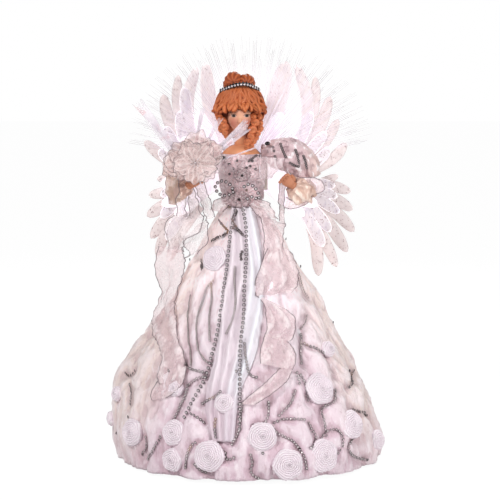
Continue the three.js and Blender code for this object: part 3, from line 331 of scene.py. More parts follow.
def beside_skirt(px, py, lift=0.0):
    """The point that a pixel shows on a surface that far off the skirt, or the nearest past its edge."""
    reaches = np.arange(NEAREST, FURTHEST, LOOK_STEP)
    points = vector(*CAMERA_PLACE) + np.outer(reaches, ray(px, py))
    heights = points[:, 2]
    across = points[:, 0] - lean_at(heights)
    turn = np.arctan2(points[:, 1], across)
    over = np.hypot(across, points[:, 1]) - crest_radius(heights / WAIST_HEIGHT, turn) - lift
    inside = np.nonzero(over < 0)[0]
    return points[inside[0] if len(inside) else int(np.argmin(over))]


def skirt_place(point):
    """The turn and the share of the waist's height of a point near the skirt."""
    return math.atan2(point[1], point[0] - lean_at(point[2])), point[2] / WAIST_HEIGHT


# Strings of sequins over the front, as the photograph shows them, in pixels
SEQUIN_ROUTES = (
    ((218.9, 220.4), (223, 226), (227, 230)),
    ((226.5, 232.5), (219.5, 235.7), (211, 240.8)),
    ((216.3, 239.5), (223.3, 245.3)),
    ((237, 213), (233, 220), (235, 226.8), (239, 233)),
    ((233.5, 229.3), (238, 231), (241.8, 235.7)),
    ((199.7, 259.3), (199.2, 264), (200.4, 268.9)),
    ((241.8, 253.6), (240.2, 257), (241, 261)),
    ((250.8, 247), (250.8, 253)),
    ((234.8, 267.6), (234.2, 281.6), (235.5, 299.5), (234.8, 311), (232.3, 322.4), (226.5, 334)),
    ((211.9, 280.4), (204.8, 289.3), (199, 302), (196.6, 317.3), (195.9, 332.7), (196.6, 345.4),
     (204.6, 360.4), (211.8, 363)),
    ((210.6, 284), (210, 297), (208.7, 314.8), (209.3, 340.3)),
    ((212.5, 281.6), (217.6, 288)),
    ((188.3, 294.4), (187, 314.8), (188.3, 349.2), (191, 365.7)),
    ((157, 305.9), (152.6, 318.6), (153.8, 334)),
    ((163, 326), (160, 333)),
    ((298.6, 270.8), (303, 286.7), (308.8, 297)),
    ((313.9, 286.7), (317, 299.5), (324.7, 313.5)),
    ((293.5, 257.4), (296, 261.5)),
    ((308, 314.8), (306, 321), (302.4, 327.6)),
    ((303, 333), (302, 346), (302.9, 362)),
    ((305.5, 342.5), (315.4, 348.8), (327, 355)),
    ((254, 341.6), (258.2, 353)),
    ((270.5, 266.3), (272, 272)),
    ((180, 264), (181.9, 271.4), (180, 277)),
    ((193.4, 254.8), (198.5, 252.6)),
    ((138.6, 335), (151, 340.7)),
    ((143, 331), (152.9, 338)),
    ((147, 327), (155, 334)),
    ((127, 383.6), (129.5, 393), (130.5, 404)),
    ((142, 378), (154.6, 378.6)),
    ((123.4, 372), (127, 375), (133, 370)),
    ((183, 362), (190, 369), (204.6, 372)),
    ((186.8, 385), (181.4, 397.9), (171.6, 419.3)),
    ((188.6, 383.6), (196, 379), (204.6, 375.5)),
    ((201, 403), (213.6, 397.9), (220.7, 392.5)),
    ((191, 414), (197, 417), (202.9, 422)),
    ((202, 430), (202, 439)),
    ((179.6, 431.8), (180.5, 439)),
    ((215.4, 419.3), (214.5, 428), (215.4, 437)),
    ((218, 418.4), (231.4, 414)),
    ((241.3, 405), (240, 418), (238.6, 430), (231.4, 444.3)),
    ((244, 344.3), (245.7, 362), (249.3, 374.6), (256, 377)),
    ((252, 363), (256, 365.5)),
    ((249, 383.6), (255.5, 380)),
    ((269, 401), (268, 414), (264.5, 422), (252.9, 424.6)),
    ((274.3, 422), (285, 418.4), (302.9, 420)),
    ((272.5, 426.4), (279.6, 433.6), (293.9, 442.5), (302.9, 455), (306.4, 468.4)),
    ((309, 422.9), (318, 435.4), (317, 442.5), (310, 447.9)),
    ((315.4, 444.3), (322, 440), (327, 432), (335, 429), (341.5, 436), (342, 446)),
    ((294.8, 390.7), (290.4, 403), (279.6, 414.8)),
    ((295.7, 372.9), (297, 378), (298.4, 383.6)),
    ((300, 375), (305.5, 385.4), (308.2, 399.6)),
    ((335, 390), (333.2, 401.4), (324.3, 406.8), (326, 419.3), (327.9, 435.4)),
    ((347.5, 399.6), (356.4, 392.5), (367, 389.8)),
    ((354.6, 370), (351, 383.6), (347.5, 388)),
    ((353.8, 408.6), (360, 411.3), (371.6, 414)),
    ((360, 435.4), (351, 442.5), (351, 451.4), (360, 458.6), (369, 460.4)),
    ((338.6, 397.9), (339.5, 406.8)),
    ((143.9, 437), (144.8, 444.3), (138.6, 455)),
    ((159, 437), (152, 451.4), (145.7, 459.5)),
    ((158, 438), (169, 444.3)),
    ((195.7, 442.5), (190.4, 447.9), (185, 467.5)),
    ((193.9, 464.8), (198, 470), (203.8, 473.8)),
    ((224.3, 470), (214.5, 479)),
    ((237.7, 465.7), (235, 479)),
    ((224.3, 453), (225.2, 460.4), (233.2, 457.7)),
    ((250, 455), (252, 464), (250, 473), (258, 479)),
    ((330, 462), (336, 458), (340, 450)),
    ((114, 404), (118, 400)),
    ((121, 448), (128, 458)),
)
SINGLE_SEQUINS = ((300.5, 266.3), (287.5, 238.6), (329.8, 323.7), (181, 260), (236, 372), (283, 352),
                  (300, 449), (131, 417), (116, 433), (171, 372), (262, 453), (346, 372))
SEQUIN_RADIUS = 1.3
SEQUIN_STEP = 3.0
FINE_SEQUIN_RADIUS = 1.0
FINE_SEQUIN_STEP = 2.15
WAIST_SEQUIN_RADIUS = 1.4
WAIST_SEQUIN_STEP = 2.3
# Strings between these heights are of finer sequins
FINE_BAND = (118.0, 174.0)
# The back carries the front's strings turned about, below this share of the waist's height
BACK_STRINGS_BELOW_SHARE = 0.62
SIDE_GAP = 0.05

# The cloth of the skirt
QUILT_RISE = 4.0
QUILT_WIDTH = 6.5
CRUMPLE = 2.0
CRUMPLE_SIZE = 17.0
CREASE = 0.9
CREASE_SIZE = 7.0
FOLD_SHARE = 0.55
OVERSKIRT_THICKNESS = 0.7
LINING_THICKNESS = 0.6
LINING_GAP = 1.6
LINING_END_SHARES = (0.02, 0.975)
LINING_ROWS = 40
LINING_COLUMNS = 144
PANEL_THICKNESS = 0.5
PANEL_WIDTH = 40.0
SKIRT_ROWS = 130
SKIRT_COLUMNS = 360
FRONT_HEM_LIFT = 4.0
FLOOR_GAP = 0.5
# The radius at which the cloth's threads are counted
MEAN_RADIUS = HEM_RADIUS * 0.6


def route_places(route):
    """A pixel route as turns and shares on the skirt."""
    places = np.array([skirt_place(beside_skirt(px, py)) for px, py in route])
    places[:, 0] = np.unwrap(places[:, 0])
    return places


def crest_points(turn, share, lift=0.0):
    """Points on the fold crests, lifted off them square to the slope."""
    turn, share = np.asarray(turn, float), np.asarray(share, float)
    step = 0.01
    low = np.clip(share, 0, 1 - step)
    slope = (crest_radius(low, turn) - crest_radius(low + step, turn)) / (WAIST_HEIGHT * step)
    length = np.hypot(1, slope)
    radius = crest_radius(share, turn) + lift / length
    height = share * WAIST_HEIGHT
    return np.stack([lean_at(height) + radius * np.cos(turn), radius * np.sin(turn),
                     height + lift * slope / length], axis=-1)


def string_lines():
    """Every string of sequins on the skirt as a dense line of turns and shares, none right at a side."""
    lines = []
    for route in SEQUIN_ROUTES:
        places = route_places(route)
        places = places[np.sin(places[:, 0]) < -SIDE_GAP]
        if len(places) < 3:
            continue
        lines.append(places)
        if places[:, 1].max() < BACK_STRINGS_BELOW_SHARE:
            lines.append(places * (-1, 1))
    dense = []
    for places in lines:
        points = smooth_line(np.column_stack([crest_points(*places.T), places]), 24)
        count = max(3, int(line_length(points) / SEQUIN_STEP))
        dense.append(smooth_line(points, count)[:, 3:])
    return dense


STRINGS = string_lines()
seam_tree = KDTree(sum(len(line) for line in STRINGS))
for number, point in enumerate(crest_points(*np.vstack(STRINGS).T)):
    seam_tree.insert(point, number)
seam_tree.balance()


def fold_depth(share):
    """How deep the folds are: deepest at the hem."""
    return HEM_FOLD + (WAIST_FOLD - HEM_FOLD) * share


def skirt_relief(turn, share):
    """How far the cloth lies off the fold crests: its folds, the puffs between the strings, and crumples."""
    turn, share = np.asarray(turn, float), np.asarray(share, float)
    on_crest = crest_points(turn, share)
    wander = 0.05 * np.sin(3 * turn + 4 * share) + 0.03 * np.sin(7 * share)
    folds = -FOLD_SHARE * fold_depth(share) * (1 - np.cos(FOLD_COUNT * (turn + wander))) / 2
    gaps = np.array([seam_tree.find(place)[2] for place in on_crest.reshape(-1, 3)]).reshape(turn.shape)
    fade = np.clip((0.92 - share) / 0.25, 0, 1)
    quilt = QUILT_RISE * (1 - np.exp(-(gaps / QUILT_WIDTH) ** 2)) * fade
    crumples = CRUMPLE * roughness_of(on_crest * (1, 1, 0.45), CRUMPLE_SIZE, 1) * 2
    creases = CREASE * roughness_of(on_crest * (1, 1, 0.35), CREASE_SIZE, 2, sharp=True)
    return folds + (quilt - QUILT_RISE / 2) + (crumples + creases) * (0.25 + 0.75 * fade)


# The satin panel down the front: its two edges in pixels
PANEL_LEFT_EDGE = ((231, 207), (228, 235), (224, 275), (221, 315), (216, 350), (207, 385), (205, 410),
                   (212, 441))
PANEL_RIGHT_EDGE = ((253, 207), (260, 240), (263, 280), (261, 320), (256, 352), (243, 385), (237, 410),
                    (233, 443))
PANEL_FOLDS = 4
PANEL_ROWS = 100
PANEL_COLUMNS = 61
PANEL_LEFT, PANEL_RIGHT = (smooth_line(route_places(edge), 60)[::-1]
                           for edge in (PANEL_LEFT_EDGE, PANEL_RIGHT_EDGE))


def panel_edges(share):
    """The turns of the panel's left and right edge."""
    return (np.interp(share, edge[:, 1], edge[:, 0]) for edge in (PANEL_LEFT, PANEL_RIGHT))


def panel_across(turn, share):
    """How far across the panel a place lies: 0 at its left edge and 1 at its right one."""
    left, right = panel_edges(share)
    return (turn - left) / (right - left)


def panel_pleat(across, share):
    sway = 0.07 * np.sin(13 * share + 2 * across)
    return (0.5 - 0.5 * np.cos(FULL_TURN * PANEL_FOLDS * (across + sway))) ** 1.3


def panel_lift(across, share, relief):
    """How far the panel lies off the fold crests: it bridges the folds below, and its pleats stand up."""
    swell = np.sin(math.pi * np.clip(1.1 - share, 0, 1))
    edge = np.clip(np.minimum(across, 1 - across) / 0.1, 0, 1)
    pleats = (0.8 + 2.6 * swell) * panel_pleat(across, share)
    return np.maximum(relief, relief * 0.4) + 0.6 + edge * (0.8 + pleats)


def on_top(turn, share, lift=0.0):
    """Points on the skirt's cloth, or on the satin panel where that covers it, lifted off them."""
    relief = skirt_relief(turn, share)
    across = panel_across(turn, share)
    covered = (across > 0) & (across < 1) & (share > PANEL_LEFT[0, 1])
    return crest_points(turn, share, np.where(covered, panel_lift(across, share, relief), relief) + lift)


def hollow_of(relief, reach=6):
    """How far each place of a closed grid lies below those round it: 1 in a hollow, 0 on a crest."""
    around = sum(np.roll(relief, step, axis=1) for step in range(-reach, reach + 1)) / (2 * reach + 1)
    padded = np.pad(around, ((reach, reach), (0, 0)), mode="edge")
    around = sum(padded[step:step + len(relief)] for step in range(2 * reach + 1)) / (2 * reach + 1)
    return np.clip(0.5 + (around - relief) / 3.2, 0, 1)


# Node trees and materials

def colour(digits):
    """A colour from the usual six digits, in linear values."""
    parts = [int(digits[at:at + 2], 16) / 255 for at in (0, 2, 4)]
    linear = [part / 12.92 if part <= 0.04045 else ((part + 0.055) / 1.055) ** 2.4 for part in parts]
    return (*linear, 1.0)


class Value:
    """A socket of a node tree, for use in expressions."""

    def __init__(self, nodes, socket):
        self.nodes = nodes
        self.socket = socket

    def __getitem__(self, output):
        return Value(self.nodes, self.socket.node.outputs[output])

    def math(self, operation, *others):
        return self.nodes.node("ShaderNodeMath", dict(enumerate((self,) + others)), operation=operation)

    def __add__(self, other):
        return self.math("ADD", other)

    def __sub__(self, other):
        return self.math("SUBTRACT", other)

    def __mul__(self, other):
        return self.math("MULTIPLY", other)

    def __truediv__(self, other):
        return self.math("DIVIDE", other)

    def __pow__(self, other):
        return self.math("POWER", other)

    def __rsub__(self, other):
        return self * -1.0 + other

    __radd__ = __add__
    __rmul__ = __mul__

    def clamp(self):
        return self.nodes.node("ShaderNodeClamp", {0: self})

    def sine(self):
        return self.math("SINE")

    def size(self):
        return self.math("ABSOLUTE")


class Nodes:
    """A node tree that is built node by node."""

    def __init__(self, tree):
        self.tree = tree

    def node(self, kind, sockets=None, output=0, **settings):
        """Adds a node with its settings and its sockets' values or links, and gives one of its outputs."""
        made = self.tree.nodes.new(kind)
        for key, value in settings.items():
            setattr(made, key, value)
        for key, value in (sockets or {}).items():
            self.feed(made.inputs[key], value)
        return Value(self, made.outputs[output]) if len(made.outputs) else None

    def feed(self, socket, value):
        if isinstance(value, Value):
            self.tree.links.new(value.socket, socket)
        else:
            socket.default_value = value


class Finish(Nodes):
    """One material. Its constants are set on the shader, and its tone is laid on in coats."""

    def __init__(self, name, **constants):
        self.material = bpy.data.materials.new(name)
        self.material.use_nodes = True
        super().__init__(self.material.node_tree)
        self.shader = self.tree.nodes["Principled BSDF"]
        self.tone = None
        self.surface(constants)

    def surface(self, sockets):
        """Feeds the shader's own sockets."""
        for socket, value in sockets.items():
            self.feed(self.shader.inputs[socket.replace("_", " ")], value)

    def place(self):
        """The place on the piece, in millimetres."""
        place = self.node("ShaderNodeTexCoord", output="Object")
        return self.node("ShaderNodeVectorMath", {0: place, "Scale": 1 / MM}, operation="SCALE")

    def axes(self):
        """X, Y and Z of the place on the piece, in millimetres."""
        parts = self.node("ShaderNodeSeparateXYZ", {0: self.place()})
        return parts, parts["Y"], parts["Z"]

    def noise(self, size, detail=2.0, factors=(1.0, 1.0, 1.0), rough=0.5):
        """Random values from 0 to 1, changing over that many millimetres, drawn out by factors below one."""
        drawn = self.node("ShaderNodeVectorMath", {0: self.place(), 1: factors}, operation="MULTIPLY")
        sockets = {"Vector": drawn, "Scale": 1 / size, "Detail": detail, "Roughness": rough}
        return self.node("ShaderNodeTexNoise", sockets)

    def dots(self, size):
        """Distance to the nearest of random points, as a share of that size."""
        return self.node("ShaderNodeTexVoronoi", {"Vector": self.place(), "Scale": 1 / size})

    def mark(self, name):
        """A value kept at the piece's points."""
        return self.node("ShaderNodeAttribute", output="Fac", attribute_name=name)

    def mix(self, share, low, high):
        """A colour between two others."""
        return self.node("ShaderNodeMix", {0: share, 6: low, 7: high}, 2, data_type="RGBA")

    def step(self, value, low, high):
        """0 below the first value, 1 above the second and smooth between them."""
        sockets = {0: value, 1: low, 2: high, 3: 0.0, 4: 1.0}
        return self.node("ShaderNodeMapRange", sockets, interpolation_type="SMOOTHSTEP")

    def weave(self, pitch):
        """The two threads of a plain weave, from the piece's own marks in millimetres."""
        warp, weft = ((self.mark(way) * (FULL_TURN / pitch)).sine() for way in ("across", "along"))
        return warp * weft

    def ground(self, share, low, high):
        """Starts the tone between two colours, and gives back the share of the second."""
        self.tone = self.mix(share, colour(low), colour(high))
        return share

    def coat(self, share, tone):
        """Lays a colour over the tone, by a share."""
        self.tone = self.mix(share, self.tone, colour(tone) if isinstance(tone, str) else tone)

    def coats(self, *rows):
        """Lays on colours, each as a value goes from its first bound to its second, by a share at most."""
        for value, low, high, share, tone in rows:
            self.coat(self.step(value, low, high) * share, tone)

    def done(self, height=None, rise=0.0, **sockets):
        """The material, with a bump that stands that many millimetres and whatever else varies."""
        if height is not None:
            bump = {"Height": height, "Distance": rise * MM, "Strength": 1.0}
            sockets["Normal"] = self.node("ShaderNodeBump", bump)
        self.surface({"Base_Color": self.tone, **sockets})
        return self.material


def satin_finish():
    """Satin: pinkish lilac on the left, a bluish white on the right, with painted shade between its pleats.
    """
    finish = Finish("white_satin", Roughness=0.3, Sheen_Weight=0.25, Sheen_Roughness=0.4,
                    Specular_IOR_Level=0.6)
    cloudy = finish.noise(26.0, 3.0, (1, 1, 0.4))
    folds = finish.noise(4.0, 3.0, (1, 1, 0.18))
    finish.ground(finish.step(finish.mark("share"), 0.5, 0.72), "E8D8E0", "F0F0F7")
    # Painted shade between the pleats
    finish.coat((1.0 - finish.mark("pleat")) * 0.5, "C6B0BC")
    finish.coat(cloudy * 0.4, "FBF8FB")
    finish.coats((finish.axes()[2], 105.0, 60.0, 0.6, "D5BCC8"))
    return finish.done(folds * 0.8 + finish.weave(0.7) * 0.05, 1.1, Roughness=0.22 + 0.14 * cloudy)


def lining_finish():
    """Plain satin, faintly clouded."""
    finish = Finish("lining_satin", Roughness=0.45, Sheen_Weight=0.2, Sheen_Roughness=0.5)
    finish.ground(finish.noise(30.0), "DDD2D8", "EFE8EC")
    return finish.done(finish.noise(5.0, 3.0, (1, 1, 0.2)), 0.5)


def skirt_organza_finish():
    """Organza over satin: lilac in front, rosy near the hem, creamier at the sides, with painted shade in its
    hollows, painted highlights on its puffs and crumples, paler towards the waist as painted light, and a
    painted glow higher up.
    """
    finish = Finish("skirt_organza_cloth", Roughness=0.42, Sheen_Weight=0.35, Sheen_Roughness=0.35,
                    Specular_IOR_Level=0.55, Emission_Strength=0.22)
    across, forward, up = finish.axes()
    hollow = finish.mark("hollow")
    streaks = finish.noise(5.0, 4.0, (1, 1, 0.35), 0.6)
    patches = finish.noise(13.0, 2.0, (1, 1, 0.7))
    cloudy = finish.ground(finish.noise(30.0, 4.0), "D4B2C0", "EFD9E3")
    cream = finish.mix(cloudy, colour("E4CCC6"), colour("F8E8E3"))
    finish.coats(
        # Painted light: paler towards the waist, where the cloth lies in shade
        (up, 30.0, 190.0, 0.7, "FBEFF4"),
        (across.size() + forward * 0.35 + up * 0.3, 55.0, 112.0, 1.0, cream),
        (up, 60.0, 5.0, 0.6, "CCAEBB"),
        # Painted shade in the hollows and painted highlights on the puffs
        (hollow, 0.52, 0.9, 0.4, "BC9CA4"),
        (hollow, 0.5, 0.15, 0.4, "FCF1F6"),
        # Painted shade and painted highlights along the streaks and patches, which also raise the bump
        (streaks, 0.46, 0.32, 0.45, "C09FA7"),
        (streaks, 0.57, 0.7, 0.55, "FFF5FA"),
        (patches, 0.56, 0.64, 0.35, "FFF4F8"),
    )
    # A painted glow of the cloth's own tone, higher up the skirt
    painted_glow = finish.mix(finish.step(up, 90.0, 215.0), colour("000000"), finish.tone)
    height = streaks * 1.1 + patches * 0.8 + finish.noise(1.6) * 0.25 + finish.weave(0.8) * 0.05
    return finish.done(height, 1.8, Emission_Color=painted_glow, Roughness=0.32 + 0.25 * cloudy)


def sheer_finish(name, thin, thick, alpha, dense, glow=0.0):
    """Sheer cloth: its threads let through what lies behind. Where it folds it looks denser and, by a painted
    highlight, paler; where its folds sink it has painted shade; and it has a faint painted glow.
    """
    finish = Finish(name, Roughness=0.45, Sheen_Weight=0.3, Sheen_Roughness=0.3, Emission_Strength=glow)
    folds = finish.noise(7.0, 3.0, (1, 1, 0.4), 0.6)
    creased = finish.step(folds * 0.8 + finish.mark("fold") * 0.2, 0.48, 0.72)
    finish.ground(finish.noise(16.0), thin, thick)
    # Painted shade where the folds sink, and a painted highlight where the cloth creases
    finish.coats((folds, 0.46, 0.34, 0.4, "A98D91"))
    finish.coat(creased * 0.5, "FFFAFB")
    # A faint painted glow of the cloth's own tone
    return finish.done(folds + finish.weave(0.5) * 0.02, 1.6, Emission_Color=finish.tone,
                       Alpha=(alpha + dense * creased).clamp())


def wire_finish():
    """Thread wound over wire."""
    finish = Finish("wire_edge_thread", Metallic=0.2, Roughness=0.45)
    finish.ground(finish.noise(3.0), "403438", "8A7A80")
    return finish.done(finish.noise(0.5, 1.0), 0.1)


def metal_finish(name, dark, light, roughness):
    """Dark glass or foil that shines like metal."""
    finish = Finish(name, Metallic=0.85)
    cloudy = finish.ground(finish.noise(2.2), dark, light)
    return finish.done(finish.noise(0.6, 1.0), 0.05, Roughness=roughness + 0.15 * cloudy)


def sequin_finish(name, rim, light_rim, cup):
    """Rings round pale cups. Some stretches shine gold, and some lie pale under the organza."""
    finish = Finish(name, Metallic=0.2, Roughness=0.35)
    finish.ground(finish.noise(1.3, 0.0), rim, light_rim)
    finish.coats((finish.noise(24.0, 1.0), 0.64, 0.7, 0.8, "A87848"),
                 (finish.noise(17.0, 1.0), 0.57, 0.63, 0.7, "8E7C82"))
    finish.coat(1.0 - finish.mark("rim"), cup)
    return finish.done()


def bead_finish():
    """Silver balls, each in a dark ring that is a painted reflection of a silver ball's dark rim."""
    finish = Finish("silver_bead_plating", Metallic=0.5, Roughness=0.3)
    finish.ground(finish.noise(2.2), "9C9094", "E2DADC")
    # Painted reflection: the dark ring round each ball
    finish.coat(finish.mark("rim"), "0E0909")
    return finish.done(finish.noise(0.6, 1.0), 0.05)


def rosette_finish():
    """Crinkled ribbon, with painted highlights in white on its ridges and painted shade in its grooves."""
    finish = Finish("rosette_ribbon_cloth", Roughness=0.6, Sheen_Weight=0.3, Sheen_Roughness=0.4)
    ridge = finish.mark("ridge")
    cloudy = finish.ground(finish.noise(8.0), "E6D6DF", "F6EBF1")
    # Painted shade in the grooves and painted highlights on the ridges
    finish.coats((ridge, 0.75, 0.2, 0.1 + 0.4 * cloudy, "C6AFBC"), (ridge, 0.8, 1.0, 0.6 * cloudy, "FFFFFF"))
    return finish.done(finish.noise(1.4, 3.0) * 0.8 + finish.weave(0.8) * 0.05, 0.6)


def bloom_finish():
    """The bloom's sheer petals: crinkled, with faint veins from their roots to their rims, and a faint
    painted glow for the light through them.
    """
    finish = Finish("bloom_organza_cloth", Roughness=0.45, Sheen_Weight=0.3, Emission_Strength=0.1)
    veins = ((finish.mark("around") * 14.0 + finish.noise(7.0, 1.0) * 5.0).sine() * 0.5 + 0.5) ** 3.0
    cloudy = finish.ground(finish.noise(6.0, 3.0), "C9ABA7", "EEDBD9")
    finish.coat(veins * 0.4, "FFF8F6")
    # The emission is a painted glow of the petals' own tone
    return finish.done(veins * 0.3 + cloudy, 0.6, Emission_Color=finish.tone,
                       Alpha=0.14 + 0.34 * cloudy + 0.14 * veins)


def lace_finish(name, low, high, ridge, shade):
    """Pinkish lace: pale curls over a darker ground, with a few dark points between them and painted shade in
    its hollows.
    """
    finish = Finish(name, Roughness=0.5, Sheen_Weight=0.25)
    bands = ((finish.noise(6.0, 1.0) * 40.0).sine() * 0.5 + 0.5) ** 2.0
    sewn = finish.step(finish.noise(8.0, 1.0), 0.55, 0.65)
    finish.ground(finish.noise(8.0), low, high)
    finish.coats(((finish.axes()[0] - WAIST_LEAN).size(), 11.0, 20.0, 0.5, ridge),
                 # Painted shade in the hollows
                 (finish.mark("hollow"), 0.55, 0.9, 0.45, shade))
    finish.coat(bands * 0.5, ridge)
    finish.coats((finish.dots(3.4), 0.2, 0.1, sewn, "5A4648"))
    return finish.done(bands, 0.6)


def sleeve_finish():
    """Organza in sharp creases, with painted highlights in white on top of them and painted shade in brown
    between, creamier towards the elbow.
    """
    finish = Finish("sleeve_organza_cloth", Roughness=0.4, Sheen_Weight=0.4, Sheen_Roughness=0.3)
    creases = finish.noise(6.5, 4.0, (1, 1, 0.5), 0.6)
    finish.ground(finish.noise(13.0, 3.0), "B99599", "E3CCD0")
    finish.coats((finish.axes()[0].size(), 46.0, 66.0, 0.6, "DCC0B4"),
                 # Painted highlights on the creases and painted shade between them
                 (creases, 0.54, 0.62, 0.75, "FFF8FA"), (creases, 0.46, 0.36, 0.65, "84646A"))
    return finish.done(creases, 1.8)


def cuff_finish():
    """Satin drawn into folds that run with the arm: tan, with painted highlights along the crests of its
    folds and painted shade in brown along their hollows.
    """
    finish = Finish("cuff_satin_cloth", Roughness=0.28, Sheen_Weight=0.2, Specular_IOR_Level=0.6)
    folds = finish.noise(6.5, 2.0, (1.0, 1.0, 0.3))
    finish.ground(finish.noise(9.0), "BE9384", "E6C9B8")
    # Painted highlights on the fold crests and painted shade in brown in their hollows
    finish.coats((folds, 0.47, 0.37, 0.65, "8F665C"), (folds, 0.55, 0.66, 0.8, "FBEBDD"))
    return finish.done(folds, 1.2)


def film_finish():
    """Frosted film: creamy at the wings' tips, faintly lilac inside, with a painted glow in place of the
    lamp's light, brightest at its edges and on the coverts.
    """
    finish = Finish("feather_film_sheet", Roughness=0.4, Specular_IOR_Level=0.4, Emission_Strength=0.5)
    inner = finish.mark("row")
    streaks = finish.noise(3.0, 2.0, (1, 1, 0.35))
    cloudy = finish.ground(finish.noise(14.0), "E6D5D3", "F1E6E5")
    finish.coat(inner * 0.6, "EFEBF2")
    finish.coats((streaks, 0.5, 0.38, 0.5 * inner, "D9CFE0"))
    # Painted glow: along the edges of the inner rows, and over all of the coverts
    glow = finish.step(finish.mark("edge"), 0.4, 1.0) * (0.05 + 0.95 * inner)
    near = finish.step(inner, 1.1, 1.2)
    painted_glow = finish.mix(0.12 + 0.25 * inner * cloudy + 0.7 * near, colour("000000"), colour("F6F0F4"))
    painted_glow = finish.mix(glow, painted_glow, colour("FFFFFF"))
    return finish.done(streaks, 0.4, Emission_Color=painted_glow, Alpha=(0.58 + 0.25 * streaks + 0.4 * glow).clamp())


def fibre_finish(name, inner, outer, alpha, glow):
    """Clear fibres, with a painted glow that makes them white near the middle of the fan, greyer towards
    their tips.
    """
    finish = Finish(name, Roughness=0.3, Emission_Strength=glow)
    across, _, up = finish.axes()
    out = (across ** 2.0 + (up - FAN_CENTRE[2]) ** 2.0) ** 0.5
    share = finish.ground(finish.step(out, 84.0, 108.0), inner, outer)
    # Painted glow near the middle of the fan, none at the tips
    painted_glow = finish.mix(share, finish.tone, colour("000000"))
    return finish.done(Emission_Color=painted_glow, Alpha=alpha + finish.noise(9.0, 1.0) * 0.2)


def rod_finish():
    """The clear rods in front: pale lilac grey and white, with some pink ones among them, and a faint painted
    glow.
    """
    finish = Finish("front_fibre_strand", Roughness=0.15, Specular_IOR_Level=0.6, Emission_Strength=0.12)
    finish.ground(finish.noise(9.0), "C9BAC6", "FFFAFE")
    finish.coats((finish.noise(11.0, 1.0), 0.56, 0.66, 0.5, "DE9CA0"))
    # A faint painted glow of the rods' own tone
    return finish.done(Emission_Color=finish.tone, Alpha=0.14 + 0.42 * finish.noise(6.0, 1.0))


def plain_finish(name, low, high, size, roughness, metallic=0.0, rise=0.08):
    """A moulded or pressed surface: faint clouding and a fine texture."""
    finish = Finish(name, Metallic=metallic)
    cloudy = finish.ground(finish.noise(size, 3.0), low, high)
    return finish.done(finish.noise(size / 14), rise, Roughness=roughness + 0.12 * cloudy)


def hair_finish():
    """Painted, moulded hair with fine combed lines, with painted shade in its grooves and painted highlights
    on its rolls.
    """
    finish = Finish("painted_hair_paint", Roughness=0.5, Specular_IOR_Level=0.35)
    ridge = finish.mark("ridge")
    up = finish.axes()[2]
    combed = (finish.mark("around") * 60.0 + finish.noise(6.0, 1.0) * 7.0).sine() * 0.5 + 0.5
    # Painted shade in the grooves and painted highlights on the rolls, set by the ridge mark
    finish.ground(finish.step(ridge, 0.1, 0.85), "6E2A10", "CC6C3C")
    finish.coat(finish.noise(7.0) * 0.5, "AE4E28")
    finish.coats((ridge, 0.75, 1.0, 0.2 + 0.4 * combed, "F09A62"), (up, 334.0, 348.0, 0.45, "A04E2A"),
                 (up, 334.0, 318.0, 0.35, "F29C70"))
    return finish.done(combed, 0.3, Roughness=0.55 - 0.1 * ridge)


# The middle of the fan of fibres
FAN_CENTRE = (0.0, 31.2, 283.0)

# The face, from the head's middle: where its painted features lie
FACE_CENTRE = (lean_at(327.5), -8.0, 327.5)
EYE_ACROSS = 6.2
EYE_RISE = 2.0
EYE_HALVES = (2.5, 1.3)
BROW_ACROSS = 6.4
BROW_RISE = 5.2
MOUTH_DROP = -7.9
FACE_TURN = 0.2


